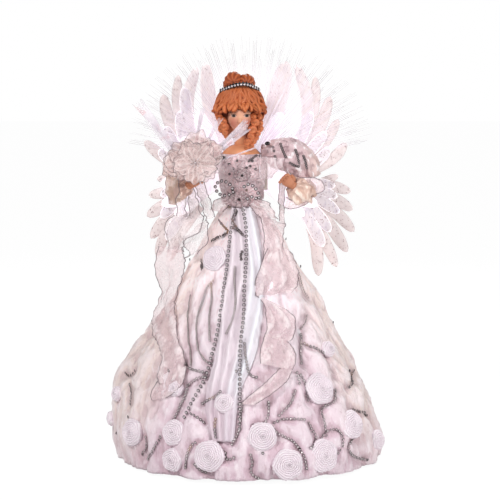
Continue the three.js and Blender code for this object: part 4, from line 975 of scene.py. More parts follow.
def skin_finish():
    """Painted skin: a warm tone, blushed cheeks, and eyes, brows and lips laid on with a fine brush, with a
    painted highlight down the nose and painted shade over the eyes and beside the nose.
    """
    finish = Finish("painted_skin_paint", Specular_IOR_Level=0.35)
    across, forward, up = finish.axes()
    across = across - (FACE_CENTRE[0] + FACE_TURN)
    up = up - FACE_CENTRE[2]
    front = finish.step(forward, -12.0, -16.0)
    cloudy = finish.ground(finish.noise(8.0), "D49379", "E3AC8F")
    finish.coats((up, -14.0, -22.0, 1.0, finish.mix(cloudy, colour("D5875E"), colour("E7A67D"))))

    def oval(x, z, half_width, half_height, soft=0.15):
        """1 inside an oval on the face and 0 outside, with a soft edge."""
        away = (((across - x) / half_width) ** 2.0 + ((up - z) / half_height) ** 2.0) ** 0.5
        return 1.0 - finish.step(away, 1.0 - soft, 1.0 + soft)

    def paint(area, share, tone):
        finish.coat(area * front * share, tone)

    wide, high = EYE_HALVES
    # A painted highlight down the nose
    paint(oval(0.2, -1.5, 1.7, 5.0, 0.7), 0.5, "E6B48F")
    for side in (-1, 1):
        eye = side * EYE_ACROSS
        brow = side * BROW_ACROSS
        white = oval(eye, EYE_RISE, wide, high)
        lid = oval(eye, EYE_RISE + 0.4, wide * 1.15, high * 1.15, 0.1)
        lash = lid - oval(eye, EYE_RISE - 0.2, wide * 1.1, high * 1.15, 0.1)
        hairs = oval(brow, BROW_RISE - 0.6, 3.4, 1.3) - oval(brow, BROW_RISE - 1.3, 3.8, 1.3)
        for area, share, tone in (
                (oval(side * 6.8, -5.0, 4.4, 4.6, 0.8), 0.7, "BB6A5C"),
                # Painted shade in the eye socket
                (oval(eye, EYE_RISE + 1.2, wide * 1.3, high * 1.8, 0.6), 0.25, "A5745E"),
                (white, 1.0, "C4A79C"),
                (oval(eye + 0.1, EYE_RISE + 0.1, 1.7, 1.25, 0.12) * white, 1.0, "0E0302"),
                (lash.clamp(), 0.9, "30160F"),
                (hairs.clamp(), 0.7, "7A4A34"),
                (oval(side * 1.1, -4.2, 0.5, 0.35, 0.4), 0.6, "8A4A38"),
                # Painted shade beside the nose
                (oval(side * 2.6, -3.6, 0.5, 1.6, 0.8), 0.4, "9A5C48")):
            paint(area, share, tone)
    paint(oval(0.0, MOUTH_DROP, 2.7, 1.15, 0.25), 0.85, "A8443C")
    paint(oval(0.0, MOUTH_DROP, 2.5, 0.2, 0.5), 0.8, "5E221E")
    return finish.done(finish.noise(1.2), 0.08, Roughness=0.45 + 0.15 * cloudy)


SATIN = satin_finish()
LINING = lining_finish()
SKIRT_ORGANZA = skirt_organza_finish()
RIBBON = sheer_finish("sheer_ribbon", "DCC0C3", "F2E0E2", 0.32, 0.4, 0.08)
SOFT_ORGANZA = sheer_finish("soft_organza_cloth", "D9C0C4", "EFDFE2", 0.3, 0.3, 0.1)
PALE_ORGANZA = sheer_finish("pale_organza_cloth", "E6D6D8", "FAF1F2", 0.22, 0.4, 0.12)
TAN_ORGANZA = sheer_finish("tan_organza_cloth", "B9917F", "D8BBAA", 0.6, 0.25)
WIRE = wire_finish()
BEAD = bead_finish()
STONE = metal_finish("dark_stone_glass", "121011", "4A4446", 0.12)
SEQUIN = sequin_finish("sequin_foil", "0E0808", "382828", "E6DADC")
DARK_SEQUIN = sequin_finish("dark_sequin_foil", "060303", "1C1212", "8E8082")
FINE_SEQUIN = sequin_finish("fine_sequin_foil", "33251F", "6A5348", "F2E8EA")
ROSETTE = rosette_finish()
BLOOM = bloom_finish()
BODICE = lace_finish("bodice_lace_cloth", "D6ABB0", "F6DADF", "FFF6F8", "9A6F76")
PETAL_LACE = lace_finish("brooch_lace_cloth", "93767A", "C0A2A6", "E2CDD0", "5E4448")
CORD = plain_finish("bodice_cord_thread", "C9A9AF", "F6E6EB", 5.0, 0.4, rise=0.2)
SLEEVE = sleeve_finish()
CUFF = cuff_finish()
FILM = film_finish()
FIBRE = fibre_finish("back_fibre_strand", "F6F0F8", "DACDD6", 0.12, 0.35)
BOLD_FIBRE = fibre_finish("long_fibre_strand", "EADFEC", "C2B0BA", 0.25, 0.3)
ROD = rod_finish()
SKIN = skin_finish()
HAND = plain_finish("painted_hand_paint", "A4654A", "C98664", 7.0, 0.45, rise=0.15)
HAIR = hair_finish()
GLITTER = metal_finish("glitter_fleck_foil", "6A4248", "B0888C", 0.25)
FERRULE = plain_finish("ferrule_plastic", "B9ADB2", "D6CDD2", 14.0, 0.4)


def dress(piece, stands_for=()):
    """Hides the nodes that a piece stands for. It rides on the figure."""
    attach(piece, "figure")
    if stands_for:
        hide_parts(*stands_for)
    return piece


def put(shapes, name, finish, stands_for=(), smooth=True):
    """Makes a dressed piece of one shape or of several."""
    shape = Shape.joined(shapes) if isinstance(shapes, list) else shapes
    return dress(shape.piece(name, finish, smooth), stands_for)


# Strings of small items along lines. A ring's size is shared by its radius and its wall.
RING_SHARE = 0.82
RING_WALL_SHARE = 0.26
# A bead's dark ring is a painted reflection: it stands for the dark rim of a silver ball
RIM_REFLECTION_SHARE = 1.05
RIM_REFLECTION_WALL_SHARE = 0.34


def marked_pair(nodes, given, middle, sides, share, wall_sides, wall_share):
    """A mesh in a ring. The ring carries the mark "rim"."""
    circle, wall = (nodes.node("GeometryNodeCurvePrimitiveCircle",
                               {"Resolution": count, "Radius": given["Size"] * part}, mode="RADIUS")
                    for count, part in ((sides, share), (wall_sides, wall_share)))
    ring = nodes.node("GeometryNodeCurveToMesh", {"Curve": circle, "Profile Curve": wall})
    marked = nodes.node("GeometryNodeStoreNamedAttribute", {"Geometry": ring, "Name": "rim", "Value": 1.0},
                        data_type="FLOAT", domain="POINT")
    both = nodes.node("GeometryNodeJoinGeometry", {0: marked})
    nodes.feed(both.socket.node.inputs[0], middle)
    return both


def ring_item(nodes, given):
    """A sequin: a cup in a thin rim, of eight steps."""
    cup = nodes.node("GeometryNodeMeshCircle", {"Vertices": 8, "Radius": given["Size"] * RING_SHARE},
                     fill_type="NGON")
    return marked_pair(nodes, given, cup, 8, RING_SHARE, 3, RING_WALL_SHARE)


def ball_item(nodes, given):
    """A bead: a ball in a dark ring, a painted reflection of its dark rim."""
    ball = nodes.node("GeometryNodeMeshIcoSphere", {"Radius": given["Size"], "Subdivisions": 2})
    return marked_pair(nodes, given, ball, 12, RIM_REFLECTION_SHARE, 4, RIM_REFLECTION_WALL_SHARE)


def string_tree(name, item):
    """A tree that sets an item at even steps along lines, each facing away from the surface below it."""
    tree = bpy.data.node_groups.new(name, "GeometryNodeTree")
    face = tree.interface
    for title, kind in (("Lines", "Geometry"), ("Spacing", "Float"), ("Size", "Float"), ("Tilt", "Float"),
                        ("Finish", "Material")):
        face.new_socket(name=title, in_out="INPUT", socket_type="NodeSocket" + kind)
    face.new_socket(name="Items", in_out="OUTPUT", socket_type="NodeSocketGeometry")
    nodes = Nodes(tree)
    given = nodes.node("NodeGroupInput")
    lines = nodes.node("GeometryNodeMeshToCurve", {"Mesh": given["Lines"]})
    steps = nodes.node("GeometryNodeResampleCurve", {"Curve": lines, "Length": given["Spacing"]},
                       mode="LENGTH")
    facing = nodes.node("GeometryNodeInputNamedAttribute", {"Name": "facing"}, data_type="FLOAT_VECTOR")
    turned = nodes.node("FunctionNodeAlignRotationToVector", {"Vector": facing}, axis="Z")
    tilt = nodes.node("FunctionNodeRandomValue", {0: given["Tilt"] * -1.0, 1: given["Tilt"], "Seed": 3},
                      data_type="FLOAT_VECTOR")
    tilted = nodes.node("FunctionNodeRotateRotation",
                        {0: turned, 1: nodes.node("FunctionNodeEulerToRotation", {"Euler": tilt})},
                        rotation_space="LOCAL")
    spread = nodes.node("GeometryNodeInstanceOnPoints",
                        {"Points": steps, "Instance": item(nodes, given), "Rotation": tilted})
    real = nodes.node("GeometryNodeRealizeInstances", {"Geometry": spread})
    even = nodes.node("GeometryNodeSetShadeSmooth", {"Geometry": real})
    done = nodes.node("GeometryNodeSetMaterial", {"Geometry": even, "Material": given["Finish"]})
    nodes.node("NodeGroupOutput", {"Items": done})
    return tree


SEQUIN_TREE = string_tree("sequins_along_lines", ring_item)
BEAD_TREE = string_tree("beads_along_lines", ball_item)


def strung(name, lines, tree, finish, spacing, size, tilt=0.0, stands_for=()):
    """A piece made of items along lines. Each line is its points and the directions that its items face."""
    points = np.vstack([line for line, _ in lines])
    edges = []
    start = 0
    for line, _ in lines:
        edges += [(start + step, start + step + 1) for step in range(len(line) - 1)]
        start += len(line)
    mesh = bpy.data.meshes.new(name + "_lines")
    mesh.from_pydata((points * MM).tolist(), edges, [])
    facing = np.vstack([facings for _, facings in lines]).astype(np.float32)
    mesh.attributes.new("facing", "FLOAT_VECTOR", "POINT").data.foreach_set("vector", facing.ravel())
    guide = bpy.data.objects.new(name + "_guide", mesh)
    bpy.context.scene.collection.objects.link(guide)
    modifier = guide.modifiers.new("strung", "NODES")
    modifier.node_group = tree
    values = {"Spacing": spacing * MM, "Size": size * MM, "Tilt": tilt, "Finish": finish}
    for socket in tree.interface.items_tree:
        if socket.in_out == "INPUT" and socket.name in values:
            modifier[socket.identifier] = values[socket.name]
    seen = guide.evaluated_get(bpy.context.evaluated_depsgraph_get())
    made = bpy.data.objects.new(name, bpy.data.meshes.new_from_object(seen))
    bpy.data.objects.remove(guide)
    bpy.context.scene.collection.objects.link(made)
    return dress(made, stands_for)


def faced(line, across=0.0, up=0.2):
    """A line with the way its items face: forwards, and turned a little across and up."""
    return line, np.tile((across, -1.0, up), (len(line), 1))


def facing_out(points, middle=(WAIST_LEAN, 0.0)):
    """Level directions away from the figure's middle line."""
    away = points - np.array([middle[0], middle[1], 0.0])
    away = away * (1.0, 1.0, 0.0)
    return unit(away)


# The skirt

def skirt_cloth():
    """The overskirt: one sheet round the cone, puffed between its strings and gathered at the waist."""
    shares = np.linspace(0.0, 1.0, SKIRT_ROWS) ** 0.92
    share, turn = np.meshgrid(shares, angles(SKIRT_COLUMNS), indexing="ij")
    front = np.clip(-np.sin(turn), 0, 1) * np.exp(-(share / 0.06) ** 2)
    share = share + front * FRONT_HEM_LIFT / WAIST_HEIGHT
    relief = skirt_relief(turn, share)
    points = crest_points(turn, share, relief - OVERSKIRT_THICKNESS)
    points[..., 2] = np.maximum(points[..., 2], FLOOR_GAP)
    # The hollow mark sets the cloth's painted shade in its hollows and painted highlights on its puffs
    shape = cloth(points, OVERSKIRT_THICKNESS, closed=True, across=turn * MEAN_RADIUS,
                  along=share * WAIST_HEIGHT, hollow=hollow_of(relief))
    piece = put(shape, "overskirt_cloth", SKIRT_ORGANZA, ["overskirt"])


def underskirt_cloth():
    """The satin underskirt, hung plain inside the folds."""
    shares = np.linspace(*LINING_END_SHARES, LINING_ROWS)
    share, turn = np.meshgrid(shares, angles(LINING_COLUMNS), indexing="ij")
    depth = fold_depth(share)
    waves = 0.35 * depth * (np.cos(9 * turn + 2 * share) - 1)
    points = crest_points(turn, share, -depth - LINING_GAP + waves * 0.5)
    shape = cloth(points, LINING_THICKNESS, closed=True)
    piece = put(shape, "underskirt_cloth", LINING, ["underskirt"])


def satin_panel():
    """A pleated satin panel that hangs from the waist to above the hem."""
    shares = np.linspace(PANEL_LEFT[0, 1], PANEL_LEFT[-1, 1], PANEL_ROWS)
    across, share = np.meshgrid(np.linspace(0, 1, PANEL_COLUMNS), shares)
    left, right = panel_edges(share)
    turn = left + (right - left) * across
    points = crest_points(turn, share, panel_lift(across, share, skirt_relief(turn, share)))
    # The pleat mark sets the satin's painted shade between the pleats
    shape = cloth(points, PANEL_THICKNESS, share=across, pleat=panel_pleat(across, share),
                  across=across * PANEL_WIDTH, along=share * WAIST_HEIGHT)
    piece = put(shape, "satin_panel_cloth", SATIN)


# Rosettes: a ribbon wound on edge round its own start
ROSETTE_COUNT = 19
ROSETTE_PITCH = 2.0
ROSETTE_GROOVE = 1.5
ROSETTE_RISE = 4.6
ROSETTE_COLUMNS = 84
# How far a rosette's middle stands off the cloth round it, and how far its back reaches below
ROSETTE_LIFT = 1.2
ROSETTE_DEPTH = 2.0
# The skirt's usual radius where rosettes sit
ROSETTE_SKIRT_RADIUS = 110
# Those in front, by number: the middle in the photograph and the width there, in pixels
ROSETTE_SIGHTS = {1: (213.0, 258.5, 26), 4: (132.0, 432.5, 27), 5: (172.5, 433.0, 25), 6: (174.0, 389.0, 15),
                  8: (207.5, 456.5, 30), 9: (224.0, 404.5, 19), 10: (262.0, 437.0, 28),
                  11: (288.0, 465.0, 30), 12: (325.5, 456.0, 32), 13: (320.5, 389.0, 31),
                  14: (351.0, 425.0, 28), 15: (376.0, 440.0, 18)}


def rosette(number):
    """One rosette, where its solid is: a spiral of ruffled ribbon on edge, flat behind, frayed at its rim."""
    name = f"rosette_{number:02d}"
    node = frame["nodes"][name]
    corners = np.array([vertex.co for vertex in node.data.vertices]) / MM
    middle = (corners.min(axis=0) + corners.max(axis=0)) / 2
    turn, share = skirt_place(middle - facing_out(middle) * 3)
    east = vector(-math.sin(turn), math.cos(turn), 0)
    radius = ((corners @ east).max() - (corners @ east).min()) / 2
    if number in ROSETTE_SIGHTS:
        px, py, width = ROSETTE_SIGHTS[number]
        turn, share = skirt_place(beside_skirt(px, py, ROSETTE_DEPTH))
        radius = max(radius, width * PIXEL / 2)
        east = vector(-math.sin(turn), math.cos(turn), 0)
    upward = unit(crest_points(turn, share + 0.02) - crest_points(turn, share - 0.02))
    face = np.cross(east, upward)
    ring = angles(8)
    beside = on_top(turn + 0.6 * radius * np.cos(ring) / ROSETTE_SKIRT_RADIUS,
                    share + 0.6 * radius * np.sin(ring) / WAIST_HEIGHT)
    centre = crest_points(turn, share)
    centre = centre + face * (np.mean((beside - centre) @ face) + ROSETTE_LIFT)
    ahead = unit(vector(*CAMERA_PLACE) - centre)
    if face @ ahead > 0:
        face = unit(face + 0.5 * (1 - face @ ahead) * ahead)
        east = unit(np.cross(upward, face))
        upward = np.cross(face, east)
    rows = int(radius / ROSETTE_PITCH * 7)
    out, angle = np.meshgrid(np.linspace(0.02, 1, rows), angles(ROSETTE_COLUMNS), indexing="ij")
    wobble = 0.4 * np.sin(2 * angle + number) + 0.3 * np.sin(5 * angle + 2 * number + 4 * out)
    phase = out * radius / ROSETTE_PITCH - angle / FULL_TURN + wobble * 0.6
    ridge = np.abs(np.cos(math.pi * phase)) ** 0.7
    edge = radius * (1 + 0.03 * np.sin(5 * angle + number) + 0.025 * out ** 6 * np.sin(27 * angle + number))
    close = np.clip((1 - out) / 0.16, 0, 1) ** 0.5
    ruffle = 0.35 * np.sin(17 * angle + 5 * phase)
    height = close * (ROSETTE_RISE * (1 - 0.45 * out ** 2) + ROSETTE_GROOVE * (ridge - 1) + ruffle * ridge)
    flat = (out * edge * np.cos(angle))[..., None] * east + (out * edge * np.sin(angle))[..., None] * upward
    top = centre + flat + height[..., None] * face
    base = centre + flat * 0.97 - (1 + out[..., None] ** 2) * ROSETTE_DEPTH * face
    both = {"ridge": (ridge, ridge * 0), "across": (phase * 3,) * 2, "along": (angle * out * radius,) * 2}
    marks = {mark: np.concatenate([above, below[::-1]]) for mark, (above, below) in both.items()}
    put(loft(np.concatenate([top, base[::-1]]), **marks), f"wound_ribbon_{number:02d}", ROSETTE,
        [name])


def skirt_sequins():
    """Strings of sequins over the whole skirt: bold low down, finer above them, dark at the waist."""
    bold = []
    fine = []
    dark = []
    for line in STRINGS:
        points = on_top(line[:, 0], line[:, 1], 1.6 + 0.8 * line[:, 1])
        height = points[:, 2].mean()
        chosen = bold if height < FINE_BAND[0] else fine if height < FINE_BAND[1] else dark
        chosen.append((points, facing_out(points)))
    for px, py in SINGLE_SEQUINS:
        turn, share = skirt_place(beside_skirt(px, py))
        pair = on_top(np.array([turn, turn]), np.array([share, share - 0.2 / WAIST_HEIGHT]), 1.2)
        bold.append((pair, facing_out(pair)))
    for name, lines, finish, step, radius, lift in (
            ("sequins_skirt", bold, SEQUIN, SEQUIN_STEP, SEQUIN_RADIUS, 0.35),
            ("sequins_skirt_fine", fine, FINE_SEQUIN, FINE_SEQUIN_STEP, FINE_SEQUIN_RADIUS, 0.2),
            ("sequins_skirt_waist", dark, DARK_SEQUIN, WAIST_SEQUIN_STEP, WAIST_SEQUIN_RADIUS, 0.6)):
        strung(name, lines, SEQUIN_TREE, finish, step, radius, lift)


# Bead strands down the front, in pixels
THREAD_RADIUS = 0.15
STRAND_BEAD = 1.2
STRAND_PITCH = 4.5
STRAND_FORWARD = 4.0
STRAND_ROUTES = {
    "left": ((235.6, 208), (229, 238), (226.3, 260), (223.2, 289), (221.5, 307), (214.7, 340.5), (208.4, 363),
             (201.8, 381.5), (182, 418)),
    "right": ((242, 208), (245.4, 228), (245.7, 258), (243.8, 290), (243, 320), (240, 350), (239.3, 395),
              (238.6, 430)),
}


def bead_strand(side, route):
    """A strand of beads that lies taut over the pleats and folds."""
    places = smooth_line([skirt_place(beside_skirt(px, py, STRAND_FORWARD)) for px, py in route], 160)
    crests = crest_points(*places.T)
    outward = crest_points(*places.T, 1.0) - crests
    lift = np.sum((on_top(*places.T) - crests) * outward, axis=1)
    highest = np.max([np.roll(np.pad(lift, 12, mode="edge"), step)[12:-12] for step in range(-6, 7)], axis=0)
    even = np.convolve(np.pad(highest, 10, mode="edge"), np.ones(21) / 21, mode="valid")
    points = crests + outward * (even + STRAND_BEAD * 0.7)[:, None]
    strung("beads_strand_" + side, [(points, facing_out(points))], BEAD_TREE, BEAD, STRAND_PITCH, STRAND_BEAD,
           stands_for=["bead_strand_" + side])
    put(tube(points, THREAD_RADIUS, 5), "thread_strand_" + side, CORD)


# Ribbons, each drawn by its two edges in pixels and the lift off the skirt. It swells between its gathers.
RIBBON_THICKNESS = 0.35
WIRE_RADIUS = 0.36
RIBBON_WIDTH = 36.0
RIBBON_COLUMNS = 22


def ribbon(name, left, right, folds=2.0, swell=2.5, gathers=0, rows=90, stands_for=(), phase=0.0, wired=True,
           place=beside_skirt, finish=RIBBON):
    """A sheer ribbon between two edges, with a wire in each edge."""
    left, right = (smooth_line([place(*sight) for sight in edge], rows)[:, None] for edge in (left, right))
    across = np.linspace(0, 1, RIBBON_COLUMNS)[None]
    down = np.linspace(0, 1, rows)[:, None]
    points = left * (1 - across[..., None]) + right * across[..., None]
    outward = facing_out(points)
    pinch = np.abs(np.cos(math.pi * gathers * down + phase)) ** 2 if gathers else np.ones_like(down) * 0.3
    wave = np.sin(FULL_TURN * folds * (across + 0.15 * np.sin(6 * down + phase)) + phase)
    billow = swell * np.sin(math.pi * across) * (1 - pinch)
    crumple = roughness_of(points, 9.0, 5 + phase)
    crumple = crumple + 0.8 * roughness_of(points * (1, 1, 0.4), 5.0, 6, sharp=True)
    points = points + outward * ((billow + swell * 0.6 * wave * (0.5 + 0.5 * pinch)) + crumple)[..., None]
    length = line_length(points[:, RIBBON_COLUMNS // 2])
    shape = cloth(points, RIBBON_THICKNESS, across=across * RIBBON_WIDTH + 0 * down,
                  along=down * length + 0 * across, fold=0.5 + 0.5 * wave)
    piece = put(shape, name, finish, stands_for)
    if wired:
        wires = [tube(points[:, column], WIRE_RADIUS, 5) for column in (0, -1)]
        put(wires, name + "_wire", WIRE)


# Each ribbon's name, its two edges as pixels of the photograph with how far forward, and its looks
RIBBONS = (
    # The streamers that fall from the bloom, the loops below them and the tail down the side
    ("streamer_left_inner",
     ((175.9, 173, 30), (175.4, 190, 27), (175.6, 204, 22), (176.4, 216, 16)),
     ((187, 173, 32), (185.2, 190, 29), (184.8, 204, 25), (186.5, 217, 18)),
     dict(folds=0.5, swell=0.8, finish=PALE_ORGANZA)),
    ("streamer_left_middle",
     ((188, 174, 30), (187, 190, 28), (188, 206, 24), (190, 220, 18)),
     ((192.5, 178, 30), (193.5, 190, 27), (198.8, 207.7, 20), (202.5, 217, 12)),
     dict(folds=0.6, swell=0.8, finish=PALE_ORGANZA)),
    ("streamer_left_outer",
     ((193.5, 178, 26), (197, 192, 22), (202, 206, 15), (206, 220, 9)),
     ((203, 177, 24), (206, 190, 20), (210.5, 204, 13), (214.5, 217, 6)),
     dict(folds=0.6, swell=0.8, finish=PALE_ORGANZA)),
    ("loop_left_upper",
     ((176.4, 215, 14), (169.5, 219.5, 16), (166.2, 228, 17), (165.6, 237, 16), (166.2, 246, 13),
      (169.7, 254, 10)),
     ((202.3, 215.5, 10), (201, 223, 14), (197.5, 231.6, 17), (191, 236.2, 18), (185, 240, 17),
      (181, 252, 12)),
     dict(folds=1.6, swell=4.0, gathers=1, phase=0.4, finish=PALE_ORGANZA)),
    ("loop_left_lower",
     ((184, 238, 10), (184.5, 244, 12), (186.5, 249, 13), (190, 254, 12), (184, 259, 9)),
     ((206, 220, 6), (208.4, 230, 8), (208, 241, 10), (204, 247, 10), (196.5, 254, 8)),
     dict(folds=1.2, swell=3.0, phase=1.0, finish=PALE_ORGANZA)),
    ("tail_left",
     ((160, 246, 8), (156.6, 257, 8), (156, 268, 7), (159, 280, 6), (162.3, 291, 6), (158.5, 303, 6),
      (153, 318, 6), (152, 333, 5), (158, 348, 5), (161, 362, 4), (157.5, 374.6, 4), (160.5, 384, 3)),
     ((180, 247, 10), (183, 262, 9), (180, 277, 8), (176, 290, 7), (173, 303, 7), (176, 318, 6),
      (177, 333, 6), (181, 348, 5), (184.5, 362, 5), (181, 374, 4), (178, 379, 3)),
     dict(folds=1.5, swell=3.0, gathers=4, rows=140, phase=0.6, stands_for=["ribbon_left"])),
    ("tail_left_end",
     ((162.8, 372, 4), (156, 384, 3), (151, 394, 3), (152, 400, 2)),
     ((186, 366, 4), (184, 380, 4), (176, 391, 3), (166, 398, 2)),
     dict(folds=1.0, swell=2.0, phase=2.0)),
    # The streamer from the other hand, its lobes down the skirt and the tail that crosses to the strands
    ("streamer_right",
     ((278.6, 182, 24), (278.2, 196, 20), (279, 209, 15), (278.5, 221, 10)),
     ((284.6, 183, 24), (283.4, 196, 20), (282.8, 209, 16), (284, 224, 10)),
     dict(folds=0.5, swell=0.4)),
    ("drape_right_upper",
     ((258, 214, 5), (261, 224, 6), (263, 236, 6), (264, 250, 5), (262, 262, 4)),
     ((283.8, 223.5, 9), (282.6, 233, 11), (282, 241, 11), (284, 249, 10), (288, 262, 9)),
     dict(folds=2.2, swell=3.0, gathers=1)),
    ("drape_right_middle",
     ((266, 248, 7), (262, 260, 6), (258, 272, 5), (255, 284, 5), (255, 296, 4)),
     ((288.7, 249.5, 11), (293.6, 256, 11), (296.6, 266, 10), (296.8, 278, 9), (292, 292, 8)),
     dict(folds=2.4, swell=4.0, gathers=1, phase=0.5, stands_for=["ribbon_right"])),
    ("drape_right_lower",
     ((255, 294, 5), (263, 304, 6), (266, 316, 6), (266, 328, 5), (264, 336, 4)),
     ((286, 309.5, 8), (292.5, 316, 9), (295.4, 325, 9), (294.5, 332, 8), (289, 341, 7)),
     dict(folds=2.0, swell=3.5, gathers=1, phase=1.1)),
    ("drape_right_foot",
     ((264.5, 333, 5), (261, 345, 6), (259.5, 356, 6), (260, 363.5, 6)),
     ((287.5, 341, 7), (293.8, 350, 8), (294.6, 360, 8), (292.5, 370, 7)),
     dict(folds=1.4, swell=3.0, phase=0.9)),
    ("drape_right_tail",
     ((281.6, 366.5, 7), (273, 374.5, 6), (262, 385, 5), (250, 395, 4), (239.5, 404, 3)),
     ((291.5, 371, 7), (287.5, 379, 6), (278, 388, 5), (266, 397, 4), (254, 404.5, 3)),
     dict(folds=1.0, swell=2.0, phase=1.7)),
    # Sheer cloth between the sleeves and the body, ruffles at the waist, wired loops at the right cuff
    ("web_right",
     ((256, 157, 14), (258, 164, 16), (259, 171, 17), (259, 179, 16)),
     ((284, 158, 18), (283, 164, 20), (278, 170, 21), (270, 178, 19)),
     dict(folds=3.1, swell=2.4, place=seen_at, wired=False, phase=0.7, finish=SOFT_ORGANZA)),
    ("web_left",
     ((222, 158, 20), (220, 166, 22), (219, 173, 22)),
     ((204, 160, 24), (203, 168, 26), (206, 175, 24)),
     dict(folds=2.0, swell=2.0, place=seen_at, wired=False, phase=0.3, finish=SOFT_ORGANZA)),
    ("ruffle_waist_right",
     ((248, 204, 5), (251, 208, 7), (254, 212, 8), (258, 216, 8)),
     ((257, 199, 6), (266, 202, 9), (272, 209, 11), (277, 219, 11)),
     dict(folds=3.0, swell=4.0, phase=0.5)),
    ("ruffle_waist_left",
     ((231, 203, 5), (227, 207, 6), (222, 212, 6)),
     ((224, 196, 5), (215, 201, 8), (211, 210, 8)),
     dict(folds=2.5, swell=3.0, phase=1.5)),
    ("loop_hand_upper",
     ((299, 178, 28), (308, 177.5, 27), (316, 178.5, 26), (322, 182, 25), (324.5, 186, 25), (322, 191, 25),
      (316, 194, 26)),
     ((300, 184, 28), (305, 183.5, 28), (309, 184, 27), (312, 186, 27), (313, 188, 27), (312, 190, 27),
      (309, 192, 27)),
     dict(folds=0.8, swell=1.0, place=seen_at)),
    ("loop_hand_lower",
     ((311, 196, 27), (306, 203.5, 28), (299, 207, 28), (291, 209, 28), (284, 207.5, 28)),
     ((306, 192, 28), (302, 197, 29), (297, 200, 29), (291, 200, 29), (286, 197, 29)),
     dict(folds=1.0, swell=1.0, place=seen_at)),
    ("forearm_left",
     ((166, 176, 24), (165.5, 188, 25), (167, 204, 24)),
     ((178, 178, 32), (178, 190, 33), (176, 205, 31)),
     dict(folds=1.5, swell=1.5, place=seen_at, finish=TAN_ORGANZA)),
)


# Torso, bodice and what is sewn on it
TORSO_WIDTHS = ((236.0, 16.4), (243.0, 16.4), (263.0, 19.9), (285.0, 21.8), (289.0, 19.8), (293.5, 19.2))
TORSO_DEPTH_SHARE = 0.9
BODICE_LIFT = 2.2
BODICE_THICKNESS = 0.8
# The bodice's lower edge in front, how much higher it is behind, and its upper edge
BODICE_LOW = 240.5
BACK_RISE = 5.0
BODICE_HIGH = 293.0


def on_torso(turn, height, lift):
    """Points on the body, lifted off it."""
    widths = np.array(TORSO_WIDTHS)
    radius = np.interp(height, widths[:, 0], widths[:, 1]) + lift
    across = lean_at(height) + radius * np.cos(turn)
    return np.stack([across, TORSO_DEPTH_SHARE * radius * np.sin(turn), height], axis=-1)


# The cords: how many curls, their radius, and the turns in degrees and heights between which they lie
CORD_CURLS = 90
CORD_RADIUS = 0.42
CORD_TURNS = (-176, -4)
CORD_HEIGHTS = (246, 291)
# The stone at the right shoulder: its pixel and how far forward, and its half sizes
SHOULDER_STONE = (267, 143.5, 13.0)
SHOULDER_STONE_HALVES = (2.5, 1.7, 2.0)
# Sequins at the neckline: their radius, step and lift, and a string and single ones in pixels
NECK_SEQUIN_RADIUS = 1.1
NECK_SEQUIN_STEP = 1.9
NECK_LIFT = 1.2
NECK_SEQUINS = ((248.5, 161.0), (252.0, 158.6), (255.6, 155.6), (259.0, 153.6))
NECK_POINTS = ((252.0, 161.0), (250.0, 166.0), (259.5, 155.5), (228.5, 164.0), (233.0, 168.5), (246.0, 167.5),
               (229.0, 174.0), (255.0, 169.0), (236.5, 160.5), (231.5, 189.5), (246.0, 190.0))


def bodice():
    """The laced bodice, ruched round the body, with cords curled over it and sequins along its neckline."""
    rows, columns = 60, 220
    turns = angles(columns)
    share, turn = np.meshgrid(np.linspace(0, 1, rows), turns, indexing="ij")
    low = BODICE_LOW + BACK_RISE * (1 - np.exp(-(1 + np.sin(turn)) / 0.25))
    height = low + (BODICE_HIGH - low) * share
    smooth = on_torso(turn, height, 1.0)
    folds = roughness_of(smooth * (1, 1, 1.9), 5.5, 8, sharp=True) + roughness_of(smooth, 9.0, 4)
    relief = 0.75 * folds + 0.2 * np.sin(26 * turn + 0.4 * height)
    points = on_torso(turn, height, 0.9 + 0.7 * relief)
    # The hollow mark sets the lace's painted shade in the hollows of its ruching
    shape = cloth(points, BODICE_THICKNESS, closed=True, hollow=hollow_of(relief * 2, 3))
    piece = put(shape, "bodice_cloth", BODICE, ["bodice"])
    cords = []
    for number in range(CORD_CURLS):
        angle = math.radians(between(CORD_TURNS, (number * 0.618) % 1))
        rise = between(CORD_HEIGHTS, (number * 0.382 + 0.1) % 1)
        steps = np.linspace(0.4, 1, 16)
        wound = number * 1.7 + 8.5 * steps
        reach = (1.9 + 0.8 * math.sin(number * 2.9)) * steps
        line = on_torso(angle + reach * np.cos(wound) / 21, rise + reach * np.sin(wound), BODICE_LIFT + 0.1)
        cords.append(tube(line, CORD_RADIUS, 5))
    put(cords, "bodice_cording", CORD)
    lines = [faced(smooth_line(landed(shape, NECK_SEQUINS, NECK_LIFT), 24), 0.1)]
    for place in landed(shape, NECK_POINTS, NECK_LIFT):
        lines.append(faced(np.stack([place, place - (0, 0, 0.2)])))
    strung("sequins_neck", lines, SEQUIN_TREE, DARK_SEQUIN, NECK_SEQUIN_STEP, NECK_SEQUIN_RADIUS, 0.4)
    put(egg(seen_at(*SHOULDER_STONE), SHOULDER_STONE_HALVES, 14, 20), "shoulder_stone", STONE)


# Ornaments: the middle in pixels, half the width and height, and the dark bead's radius
BROOCHES = {"brooch_upper": (241.5, 175.3, 8.0, 6.0, 1.2), "brooch_lower": (238.6, 199.4, 10.8, 7.6, 1.3)}
BROOCH_LEAST_FORWARD = 23.5
BROOCH_BEAD = 0.6


